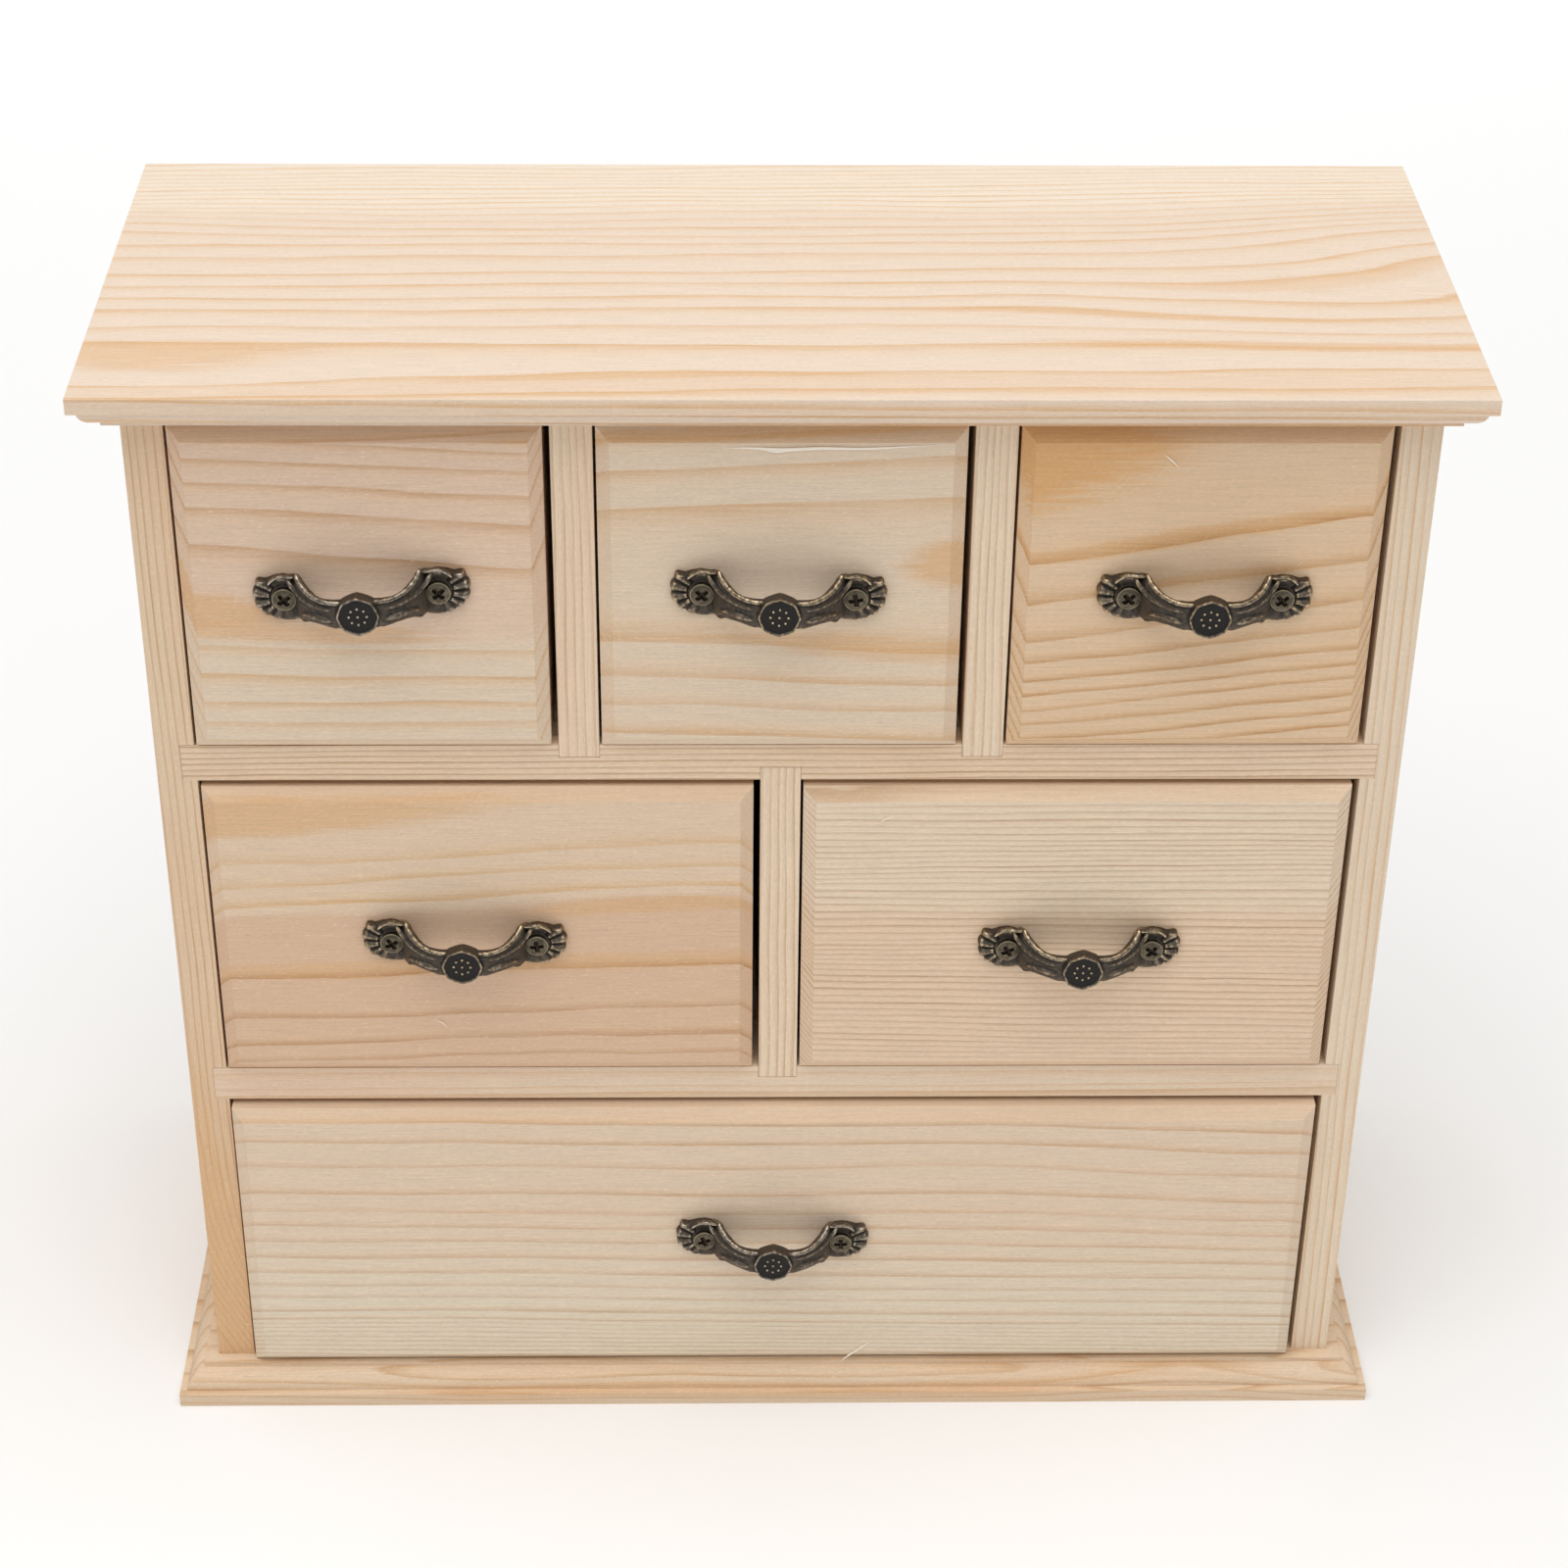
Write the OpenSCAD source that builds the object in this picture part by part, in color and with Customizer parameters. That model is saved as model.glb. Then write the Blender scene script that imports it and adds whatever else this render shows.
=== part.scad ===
// Small pine chest of drawers for a desk top: three drawers over two over one,
// moulded top and base boards, and a cast bow handle on each drawer.
// Millimetres, +Z up, drawers pull out towards -Y.
// The origin is the middle of the base board's underside.

/* [Carcass] */
// Width across the outer faces of the two side panels
body_w = 240; // [200:1:300]
// Depth of the carcass from its front edges to its back edges
body_d = 98; // [86:1:150]
// Thickness of each side panel
side_t = 7.6; // [6:0.1:12]
// Thickness of each shelf
shelf_t = 7.9; // [6:0.1:12]
// Thickness of each upright divider
divider_t = 7.8; // [6:0.1:12]
// Depth of the housings that take the ends of shelves and dividers
housing_depth = 2.8; // [1.5:0.1:3.5]
// Slack across the thickness of a board in its housing, groove or rebate
fit_play = 0.1; // [0.05:0.05:0.3]
// Clear height of the top row
top_row_h = 70; // [55:1:100]
// Clear height of the middle row
middle_row_h = 70; // [55:1:100]
// Clear height of the bottom row
bottom_row_h = 70; // [55:1:100]

/* [Top and base boards] */
// Overhang of both boards past the front and the sides
overhang = 8; // [6.5:0.1:14]
// Height of the square nose at the rim
nose_h = 3.1; // [2:0.1:6]
// Width of the flat step between the nose and the quarter round
step_w = 1.5; // [0.5:0.1:2.5]
// Radius of the quarter round
ovolo_r = 3.6; // [2:0.1:4.5]
// Height of the fillet between the quarter round and the board's inner face
fillet_h = 1; // [0.4:0.1:3]

/* [Back panel] */
// Thickness of the plywood back panel
back_t = 3; // [2:0.1:5]
// How far the back panel lies inside the back edges of the side panels
back_recess = 1; // [0.8:0.1:3]
// Width of the rebate in each side panel that takes the back panel
rebate_w = 3.8; // [3:0.1:4.8]

/* [Dowels and nails] */
// Diameter of the dowels that join the side panels to the top and base boards
dowel_d = 4; // [3:0.1:5]
// Depth of a dowel in the top or base board
dowel_in_board = 4.5; // [3:0.1:6]
// Depth of a dowel in the side panel
dowel_in_side = 12; // [8:0.5:20]
// Distance of the dowels from the front and back edges of the side panel
dowel_inset = 20; // [14:0.5:30]
// Shank diameter of the nails in the back panel
nail_d = 1.2; // [0.8:0.1:1.6]
// Length of a nail under its head
nail_l = 12; // [8:0.5:16]
// Diameter of a nail's head
nail_head_d = 2.6; // [2:0.1:2.9]
// Thickness of a nail's head
nail_head_t = 0.5; // [0.3:0.1:0.7]
// Slack between a pin, nail, dowel or screw and its hole, on the radius
hole_play = 0.05; // [0.02:0.01:0.1]

/* [Drawers] */
// Running gap at the left of each shut drawer
gap_left = 0.55; // [0.3:0.05:2]
// Running gap at the right of each shut drawer
gap_right = 1.35; // [0.3:0.05:2]
// Gap above each drawer
gap_above = 1.4; // [0.5:0.1:3]
// Running gap under each drawer
gap_below = 0.2; // [0.1:0.05:0.5]
// Gap between a shut drawer and the back panel
gap_behind = 1; // [0.5:0.1:6]
// Thickness of a drawer front behind its chamfer
front_t = 8; // [7:0.1:14]
// Depth of the chamfered field, which stands proud of the carcass
chamfer_depth = 2; // [0.5:0.1:4]
// Width of the chamfer round the field
chamfer_w = 2.55; // [0.5:0.05:5]
// How far the bottom drawer stands out past the others when shut
bottom_stand_out = 1.5; // [0:0.1:3]
// Thickness of a drawer's sides
drawer_side_t = 5; // [4:0.1:8]
// Thickness of a drawer's back
drawer_back_t = 5; // [4:0.1:8]
// Thickness of a drawer's plywood bottom
drawer_bottom_t = 2.5; // [2:0.1:4]
// Height of the plywood bottom above the drawer's lower edge
bottom_lift = 4; // [2:0.1:8]
// Depth of the grooves that hold the plywood bottom
groove_depth = 2.5; // [1.5:0.1:3]
// Depth of the rebate at each end of the front that takes a drawer side
front_rebate = 4; // [3.2:0.1:5]
// How far the sides and the back stop below the top of the front
side_drop = 3; // [0:0.1:10]

/* [Handle places] */
// Offset of each top handle to the right of the middle of its drawer front
top_handle_shift = [-0.1, -0.4, 1.4]; // [-6:0.1:6]
// Height of each top handle above the middle of its drawer front
top_handle_rise = [1.1, 0.9, 0.4]; // [-6:0.1:6]
// Tilt of each top handle, right end up, in degrees
top_handle_tilt = [2.8, -2.2, -0.8]; // [-6:0.1:6]
// Offset of each middle handle to the right
middle_handle_shift = [-3.7, 1.9]; // [-6:0.1:6]
// Height of each middle handle above the middle of its drawer front
middle_handle_rise = [-0.3, -2.1]; // [-6:0.1:6]
// Tilt of each middle handle, in degrees
middle_handle_tilt = [-1.5, -0.4]; // [-6:0.1:6]
// Offset of the bottom handle to the right
bottom_handle_shift = -0.4; // [-6:0.1:6]
// Height of the bottom handle above the middle of its drawer front
bottom_handle_rise = 1.7; // [-6:0.1:6]
// Tilt of the bottom handle, in degrees
bottom_handle_tilt = -1.7; // [-6:0.1:6]

/* [Handles] */
// Distance between the two screws of a handle
handle_pitch = 28.6; // [26:0.1:40]
// Reach of the shell at each end past its screw
shell_r = 5.7; // [5:0.1:7]
// Reach of the shell below its screw
shell_low = 4.5; // [4.2:0.1:5.5]
// Radius of each lobe at the rim of a shell
lobe_r = 1.25; // [1:0.05:1.4]
// Thickness of a shell at its rim
shell_rim_t = 1.3; // [1:0.1:1.7]
// Thickness of a shell at its screw
shell_t = 2.9; // [2.4:0.1:3.6]
// Height of the scroll above the screw at the top of each shell
scroll_h = 4.9; // [4.4:0.1:6.5]
// Projection of the bow from the drawer front at its middle
bow_out = 10; // [8.5:0.1:14]
// Thickness of the bow at its middle
bow_t = 2.4; // [1.8:0.1:4]
// Distance from each screw to the end of the finger gap
grip_margin = 3.6; // [3:0.1:4.5]
// Height of the bow's arms beside the boss
arm_h = 4.6; // [3.6:0.1:6]
// Height of the bow's arms where they leave the shells
arm_root_h = 7.4; // [6:0.1:8.6]
// Width of the octagonal boss across its corners
boss_d = 8.2; // [7:0.1:11]
// Projection of the boss past the bow
boss_out = 0.5; // [0.3:0.1:1.5]
// Thickness of the boss
boss_t = 2.2; // [1.8:0.1:4]
// Width of the rim round the face of the boss
boss_rim = 0.6; // [0.4:0.1:1]
// Depth of the sunk face of the boss
boss_sink = 0.4; // [0.2:0.1:1]
// Diameter of each bead on the face of the boss
bead_d = 0.6; // [0.4:0.05:0.8]
// Diameter of the ring of beads
bead_ring_d = 3.4; // [2.4:0.1:4.6]

/* [Handle screws] */
// Thickness of the shell left under a screw's head
seat_t = 1.8; // [1.2:0.1:2.2]
// Shank diameter
screw_d = 2.2; // [1.6:0.1:3]
// Length under the head
screw_l = 9; // [7:0.1:9.6]
// Diameter of the head
screw_head_d = 4.5; // [4:0.1:5]
// Height of the head
screw_head_h = 1.5; // [1:0.1:2]
// Gap round the head in its pocket
pocket_gap = 0.3; // [0.1:0.05:0.5]

/* [Hidden] */
$fn = 64;
// Overlap of a cut past the face that it opens
cut = 1;

// Heights of the boards and rows
cap_t = nose_h + ovolo_r + fillet_h;
bottom_row_z = cap_t;
lower_shelf_z = bottom_row_z + bottom_row_h;
middle_row_z = lower_shelf_z + shelf_t;
upper_shelf_z = middle_row_z + middle_row_h;
top_row_z = upper_shelf_z + shelf_t;
top_z = top_row_z + top_row_h;
side_h = top_z - cap_t;

// Depths: the base board is centred on the origin
cap_d = body_d + overhang;
front_y = overhang - cap_d / 2;
back_y = front_y + body_d;
panel_y = back_y - back_recess - back_t;
bay_d = panel_y - front_y;

// Widths
cap_w = body_w + 2 * overhang;
inner_w = body_w - 2 * side_t;

// Bays: the number in each row, top row first
ROW_BAYS = [3, 2, 1];
ROW_Z = [top_row_z, middle_row_z, bottom_row_z];
ROW_H = [top_row_h, middle_row_h, bottom_row_h];
function bay_w(row) = (inner_w - (ROW_BAYS[row] - 1) * divider_t) / ROW_BAYS[row];
function bay_x(row, bay) = bay * (bay_w(row) + divider_t) - inner_w / 2;
function divider_x(row, bay) = bay_x(row, bay) - divider_t;

// Drawers: name, row, bay, and the handle's offset, height and tilt
DRAWERS = [
    ["top_left_drawer", 0, 0, top_handle_shift[0], top_handle_rise[0], top_handle_tilt[0]],
    ["top_centre_drawer", 0, 1, top_handle_shift[1], top_handle_rise[1], top_handle_tilt[1]],
    ["top_right_drawer", 0, 2, top_handle_shift[2], top_handle_rise[2], top_handle_tilt[2]],
    ["middle_left_drawer", 1, 0, middle_handle_shift[0], middle_handle_rise[0], middle_handle_tilt[0]],
    ["middle_right_drawer", 1, 1, middle_handle_shift[1], middle_handle_rise[1], middle_handle_tilt[1]],
    ["bottom_drawer", 2, 0, bottom_handle_shift, bottom_handle_rise, bottom_handle_tilt],
];
BOTTOM_ROW = 2;
function drawer_w(d) = bay_w(d[1]) - gap_left - gap_right;
function drawer_h(d) = ROW_H[d[1]] - gap_above - gap_below;
function drawer_x(d) = bay_x(d[1], d[2]) + gap_left + drawer_w(d) / 2;
function drawer_y(d) = front_y - (d[1] == BOTTOM_ROW ? bottom_stand_out : 0);
function drawer_z(d) = ROW_Z[d[1]] + gap_below;
function inside_w(d) = drawer_w(d) - 2 * drawer_side_t;
function box_h(d) = drawer_h(d) - side_drop;
function handle_z(d) = drawer_h(d) / 2 + d[4];
drawer_end = bay_d - gap_behind;
floor_z = bottom_lift + drawer_bottom_t;

// Bow: its outer arc runs over the two screws, its inner arc spans the finger gap
bow_rise = bow_out - shell_t;
bow_r = (pow(handle_pitch / 2, 2) + pow(bow_rise, 2)) / (2 * bow_rise);
grip_half = handle_pitch / 2 - grip_margin;
grip_rise = bow_out - bow_t;
grip_r = (pow(grip_half, 2) + pow(grip_rise, 2)) / (2 * grip_rise);
boss_face = bow_out + boss_out;
ARM_STEPS = 10;
// Directions of the lobes of a shell from its screw, in degrees
LOBE_ANGLES = [-82:30:38];
// Sides of the boss, with a bead of the ring on each corner's line
BOSS_SIDES = 8;
function arm_edge(t) = arm_h / 2 + (scroll_h - arm_h / 2) * pow(t, 4);

// Nails: height of each pair in a row as a share of the row's clear height
NAIL_SHARES = [0.2, 0.8];
nail_x = inner_w / 2 + rebate_w / 2;
SIDE_NAILS = [for (row = [0:2], share = NAIL_SHARES, s = [-1, 1])
    [s * nail_x, ROW_Z[row] + share * ROW_H[row]]];
SHELF_NAILS = [for (z = [lower_shelf_z, upper_shelf_z], s = [-1, 1])
    [s * inner_w / 4, z + shelf_t / 2]];
NAILS = concat(SIDE_NAILS, SHELF_NAILS);

// Dowels: the same four places at the top and at the base
dowel_x = (body_w - side_t) / 2;
DOWELS = [for (s = [-1, 1], y = [front_y + dowel_inset, back_y - dowel_inset]) [s * dowel_x, y]];

PINE = [0.86, 0.76, 0.62];
PALE_PINE = [0.93, 0.86, 0.76];
PLYWOOD = [0.80, 0.68, 0.52];
BEECH = [0.78, 0.62, 0.44];
BRONZE = [0.27, 0.23, 0.18];
SCREW_BRASS = [0.45, 0.41, 0.32];
STEEL = [0.60, 0.60, 0.61];

CARCASS_NODES = [
    "top_board", "base_board", "left_side_panel", "right_side_panel",
    "upper_shelf", "lower_shelf", "upper_left_divider", "upper_right_divider",
    "middle_divider", "back_panel", "back_panel_nails", "top_dowels", "base_dowels",
];
DRAWER_PIECES = ["front", "left_side", "right_side", "back", "bottom", "handle", "handle_screws"];

// Section of a moulded board: nose below, quarter round and fillet above, on both edges
module board_section(w) {
    flat_w = w - 2 * (step_w + ovolo_r);
    translate([-w / 2, 0]) square([w, nose_h]);
    translate([-flat_w / 2, 0]) square([flat_w, cap_t]);
    for (s = [-1, 1])
        intersection() {
            translate([s * flat_w / 2, nose_h]) circle(ovolo_r);
            translate([-w / 2, nose_h]) square([w, ovolo_r]);
        }
}

// Board with the moulding on its front and both ends and a square back, nose at the bottom
module moulded_board() {
    intersection() {
        translate([0, cap_d / 2, 0])
            rotate([90, 0, 0]) linear_extrude(cap_d) board_section(cap_w);
        translate([-cap_w / 2, cap_d / 2, 0])
            rotate([90, 0, 90]) linear_extrude(cap_w) board_section(2 * cap_d);
    }
}

// Dowels standing up from a given height, with their own radius and length
module dowel_set(z, r, l) {
    for (p = DOWELS) translate([p[0], p[1], z]) cylinder(r = r, h = l);
}

// Room for the dowels across the joint at height z
module dowel_holes(z, below, above) {
    dowel_set(z - below, dowel_d / 2 + hole_play, below + above);
}

// Room for the nails' shanks through the back panel and into the boards
module nail_holes() {
    for (p = NAILS)
        translate([p[0], panel_y + back_t + cut, p[1]])
            rotate([90, 0, 0]) cylinder(r = nail_d / 2 + hole_play, h = nail_l + cut);
}

// Housing for a divider, cut from z upwards
module divider_housing(row, bay, z, depth) {
    translate([divider_x(row, bay) - fit_play / 2, front_y - cut, z])
        cube([divider_t + fit_play, bay_d + cut + fit_play, depth]);
}

module top_board() {
    color(PALE_PINE) difference() {
        translate([0, 0, top_z + cap_t]) mirror([0, 0, 1]) moulded_board();
        dowel_holes(top_z, cut, dowel_in_board);
        // The divider housings stop at the carcass front, under the overhang
        for (bay = [1, 2])
            intersection() {
                divider_housing(0, bay, top_z - cut, housing_depth + cut);
                translate([-inner_w / 2, front_y, top_z - cut])
                    cube([inner_w, body_d, cap_t]);
            }
    }
}

module base_board() {
    color(PINE) difference() {
        moulded_board();
        dowel_holes(cap_t, dowel_in_board, cut);
    }
}

// Side panel: s is -1 for the left, 1 for the right
module side_panel(s) {
    color(PINE) difference() {
        translate([s * dowel_x - side_t / 2, front_y, cap_t]) cube([side_t, body_d, side_h]);
        for (z = [lower_shelf_z, upper_shelf_z])
            translate([s * inner_w / 2 - housing_depth, front_y - cut, z])
                cube([2 * housing_depth, bay_d + cut + fit_play, shelf_t + fit_play]);
        translate([s * inner_w / 2 - rebate_w, panel_y, cap_t - cut])
            cube([2 * rebate_w, back_t + back_recess + cut, side_h + 2 * cut]);
        dowel_holes(top_z, dowel_in_side, cut);
        dowel_holes(cap_t, cut, dowel_in_side);
        nail_holes();
    }
}

// Shelf, with its ends in the side panels
module shelf_blank(z) {
    w = inner_w + 2 * housing_depth - fit_play;
    translate([-w / 2, front_y, z]) cube([w, bay_d, shelf_t]);
}

module upper_shelf() {
    color(PINE) difference() {
        shelf_blank(upper_shelf_z);
        for (bay = [1, 2]) divider_housing(0, bay, top_row_z - housing_depth, housing_depth + cut);
        divider_housing(1, 1, upper_shelf_z - cut, housing_depth + cut);
        nail_holes();
    }
}

module lower_shelf() {
    color(PINE) difference() {
        shelf_blank(lower_shelf_z);
        divider_housing(1, 1, middle_row_z - housing_depth, housing_depth + cut);
        nail_holes();
    }
}

// Divider to the left of a bay, housed in the boards above and below it
module divider(row, bay) {
    color(PINE) translate([divider_x(row, bay), front_y, ROW_Z[row] - housing_depth])
        cube([divider_t, bay_d, ROW_H[row] + 2 * housing_depth]);
}

module back_panel() {
    w = inner_w + 2 * rebate_w - fit_play;
    color(PLYWOOD) difference() {
        translate([-w / 2, panel_y, cap_t]) cube([w, back_t, side_h]);
        nail_holes();
    }
}

module back_panel_nails() {
    color(STEEL)
        for (p = NAILS)
            translate([p[0], panel_y + back_t, p[1]]) {
                rotate([90, 0, 0]) cylinder(d = nail_d, h = nail_l);
                rotate([-90, 0, 0]) cylinder(d = nail_head_d, h = nail_head_t);
            }
}

module top_dowels() {
    color(BEECH) dowel_set(top_z - dowel_in_side, dowel_d / 2, dowel_in_side + dowel_in_board);
}

module base_dowels() {
    color(BEECH) dowel_set(cap_t - dowel_in_board, dowel_d / 2, dowel_in_side + dowel_in_board);
}

// Moves a piece to its drawer: x from the drawer's middle, y from the carcass front plane,
// z from the drawer's lower edge
module in_drawer(d) {
    translate([drawer_x(d), drawer_y(d), drawer_z(d)]) children();
}

// Moves a piece to the middle of its handle, on the face of the drawer front
module on_front(d) {
    in_drawer(d) translate([d[3], -chamfer_depth, handle_z(d)]) rotate([0, -d[5], 0]) children();
}

// Section of a drawer front: thickness along y, width or height w across it
module chamfered_section(w) {
    polygon([
        [-w / 2, front_t],
        [-w / 2, 0],
        [-w / 2 + chamfer_w, -chamfer_depth],
        [w / 2 - chamfer_w, -chamfer_depth],
        [w / 2, 0],
        [w / 2, front_t],
    ]);
}

// Front with a chamfer along all four edges, mitred at the corners
module chamfered_front(w, h) {
    intersection() {
        linear_extrude(h) chamfered_section(w);
        translate([-w / 2, 0, h / 2])
            rotate([0, 90, 0]) linear_extrude(w) chamfered_section(h);
    }
}

module drawer_front(d) {
    w = drawer_w(d);
    color(PINE) difference() {
        in_drawer(d) difference() {
            chamfered_front(w, drawer_h(d));
            for (s = [-1, 1])
                translate([s * w / 2 - drawer_side_t, front_t - front_rebate, -cut])
                    cube([2 * drawer_side_t, front_rebate + cut, box_h(d) + cut + fit_play]);
            translate([-w / 2, front_t - groove_depth, bottom_lift])
                cube([w, groove_depth + cut, drawer_bottom_t + fit_play]);
        }
        on_front(d) screw_pair() cylinder(r = screw_d / 2 + hole_play, h = 2 * screw_l, center = true);
    }
}

// Drawer side: s is -1 for the left, 1 for the right
module drawer_side(d, s) {
    l = drawer_end - front_t + front_rebate;
    x = s * (drawer_w(d) - drawer_side_t) / 2;
    color(PINE) in_drawer(d) difference() {
        translate([x - drawer_side_t / 2, front_t - front_rebate, 0])
            cube([drawer_side_t, l, box_h(d)]);
        translate([s * inside_w(d) / 2 - groove_depth, 0, bottom_lift])
            cube([2 * groove_depth, drawer_end + cut, drawer_bottom_t + fit_play]);
    }
}

// Drawer back: stands on the plywood bottom between the sides
module drawer_back(d) {
    z = floor_z + fit_play;
    color(PINE) in_drawer(d) translate([-inside_w(d) / 2, drawer_end - drawer_back_t, z])
        cube([inside_w(d), drawer_back_t, box_h(d) - z]);
}

// Drawer bottom: in grooves in the front and sides, under the back
module drawer_bottom(d) {
    w = inside_w(d) + 2 * groove_depth - fit_play;
    y = front_t - groove_depth + fit_play;
    color(PLYWOOD) in_drawer(d) translate([-w / 2, y, bottom_lift])
        cube([w, drawer_end - y, drawer_bottom_t]);
}

// Copies of a shape along both screws of a handle, its +Z pointing out of the drawer
module screw_pair() {
    for (s = [-1, 1]) translate([s * handle_pitch / 2, 0, 0]) rotate([90, 0, 0]) children();
}

// Front view of the right-hand shell: lobes fan outwards from the screw, a scroll rises above it
module shell_outline() {
    ring_x = shell_r - lobe_r;
    ring_z = shell_low - lobe_r;
    scroll_in = ring_x / 8;
    circle(ring_z + lobe_r / 2);
    for (a = LOBE_ANGLES) translate([ring_x * cos(a), ring_z * sin(a)]) circle(lobe_r);
    translate([-scroll_in, scroll_h / 2]) circle(scroll_h / 2);
}

// Front view of the right-hand arm: its top edge sweeps up into the scroll
module arm_outline() {
    reach = handle_pitch / 2 - shell_r / 2;
    start = boss_d / 2;
    top = [for (i = [0:ARM_STEPS]) [start + (reach - start) * i / ARM_STEPS, arm_edge(i / ARM_STEPS)]];
    polygon(concat(
        [[0, -arm_h / 2], [0, arm_h / 2]],
        top,
        [[handle_pitch / 2, arm_root_h / 2], [handle_pitch / 2, -arm_root_h / 2]],
        [[reach, -arm_root_h / 2], [start, -arm_h / 2]]
    ));
}

module handle_outline() {
    for (s = [0, 1]) mirror([s, 0]) {
        translate([handle_pitch / 2, 0]) shell_outline();
        arm_outline();
    }
}

// Plan of the handle: y runs out from the drawer front
module handle_plan() {
    rim_x = handle_pitch / 2 + shell_r;
    difference() {
        intersection() {
            translate([0, bow_out - bow_r]) circle(bow_r);
            translate([-rim_x, 0]) square([2 * rim_x, bow_out + cut]);
        }
        translate([0, grip_rise - grip_r]) circle(grip_r);
    }
    for (s = [0, 1]) mirror([s, 0])
        polygon([
            [grip_half + shell_t / 2, 0],
            [rim_x, 0],
            [rim_x, shell_rim_t],
            [handle_pitch / 2 + screw_d / 2, shell_t],
            [grip_half + shell_t / 2, shell_t],
        ]);
}

// Octagonal boss with a sunk face and a ring of beads round one in the middle
module boss() {
    back = boss_face - boss_t;
    face = boss_face - boss_sink;
    rotate([90, 0, 0]) {
        difference() {
            translate([0, 0, back]) cylinder(d = boss_d, h = boss_t, $fn = BOSS_SIDES);
            translate([0, 0, face])
                cylinder(r = boss_d / 2 - boss_rim, h = boss_sink + cut, $fn = BOSS_SIDES);
        }
        for (i = [0:BOSS_SIDES])
            rotate(360 * i / BOSS_SIDES) translate([i == BOSS_SIDES ? 0 : bead_ring_d / 2, 0, back])
                cylinder(d = bead_d, h = face - back + boss_sink / 2);
    }
}

module handle(d) {
    reach = 2 * boss_face;
    color(BRONZE) on_front(d) {
        difference() {
            intersection() {
                rotate([90, 0, 0]) linear_extrude(reach) handle_outline();
                mirror([0, 1, 0]) linear_extrude(2 * reach, center = true) handle_plan();
            }
            screw_pair() cylinder(r = screw_d / 2 + hole_play, h = 2 * reach, center = true);
            screw_pair() translate([0, 0, seat_t])
                cylinder(r = screw_head_d / 2 + pocket_gap, h = reach);
        }
        boss();
    }
}

// Wood screw with a domed head and a crossed recess, along +Z from its tip
module handle_screw() {
    dome_r = screw_head_d * 0.7;
    slot_w = screw_head_d / 6;
    slot_l = screw_head_d * 0.55;
    tip_l = 1.5;
    translate([0, 0, seat_t]) {
        translate([0, 0, tip_l - screw_l]) cylinder(d = screw_d, h = screw_l - tip_l);
        translate([0, 0, -screw_l]) cylinder(d1 = screw_d / 4, d2 = screw_d, h = tip_l);
        difference() {
            intersection() {
                cylinder(d = screw_head_d, h = screw_head_h);
                translate([0, 0, screw_head_h - dome_r]) sphere(dome_r);
            }
            for (a = [0, 90])
                rotate(a) translate([0, 0, screw_head_h])
                    cube([slot_l, slot_w, screw_head_h], center = true);
        }
    }
}

module handle_screws(d) {
    color(SCREW_BRASS) on_front(d) screw_pair() rotate(45) handle_screw();
}

top_board();
base_board();
side_panel(-1);  // left_side_panel
side_panel(1);  // right_side_panel
upper_shelf();
lower_shelf();
divider(0, 1);  // upper_left_divider
divider(0, 2);  // upper_right_divider
divider(1, 1);  // middle_divider
back_panel();
back_panel_nails();
top_dowels();
base_dowels();
for (d = DRAWERS) {
    drawer_front(d);
    drawer_side(d, -1);
    drawer_side(d, 1);
    drawer_back(d);
    drawer_bottom(d);
    handle(d);
    handle_screws(d);
}
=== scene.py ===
import math

import bmesh
import bpy
import numpy as np
from mathutils import Matrix, Vector


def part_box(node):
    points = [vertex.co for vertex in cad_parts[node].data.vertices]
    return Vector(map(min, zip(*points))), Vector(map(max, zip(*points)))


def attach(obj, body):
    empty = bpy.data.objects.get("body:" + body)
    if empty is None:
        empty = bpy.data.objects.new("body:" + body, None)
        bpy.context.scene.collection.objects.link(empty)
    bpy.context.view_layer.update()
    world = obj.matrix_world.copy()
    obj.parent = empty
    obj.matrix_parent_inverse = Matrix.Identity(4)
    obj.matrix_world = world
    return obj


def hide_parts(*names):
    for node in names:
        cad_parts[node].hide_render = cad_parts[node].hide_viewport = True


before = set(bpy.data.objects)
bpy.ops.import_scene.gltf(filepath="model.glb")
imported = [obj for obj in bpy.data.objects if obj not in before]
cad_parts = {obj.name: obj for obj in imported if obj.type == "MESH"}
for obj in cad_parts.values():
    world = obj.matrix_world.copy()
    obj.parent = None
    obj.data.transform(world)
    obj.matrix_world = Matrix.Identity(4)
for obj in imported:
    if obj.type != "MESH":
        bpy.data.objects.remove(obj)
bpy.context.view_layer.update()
MM = 0.001

# Camera
# The viewpoint stands a little left of the chest's middle, about 0.8 m away, and looks down at about 33
# degrees. Its place, turn and focal length were solved from the chest's own edges.
EYE_MM = Vector((-12.5, -600.1, 516.5))
YAW, PITCH, ROLL = (math.radians(a) for a in (-1.358, -33.098, -0.655))
FOCAL_PX = 3495
IMAGE_PX = 1600
SENSOR_MM = 36
NEAR_CLIP = 0.01

camera_data = bpy.data.cameras.new("viewpoint")
camera_data.sensor_width = SENSOR_MM
camera_data.lens = SENSOR_MM * FOCAL_PX / IMAGE_PX
camera_data.clip_start = NEAR_CLIP
camera = bpy.data.objects.new("viewpoint", camera_data)
bpy.context.scene.collection.objects.link(camera)
bpy.context.scene.camera = camera
heading = Matrix.Rotation(YAW, 3, "Z") @ Matrix.Rotation(PITCH, 3, "X") @ Matrix.Rotation(ROLL, 3, "Y")
facing = heading @ Matrix.Rotation(math.radians(90), 3, "X")
camera.matrix_world = Matrix.Translation(EYE_MM * MM) @ facing.to_4x4()

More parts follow.
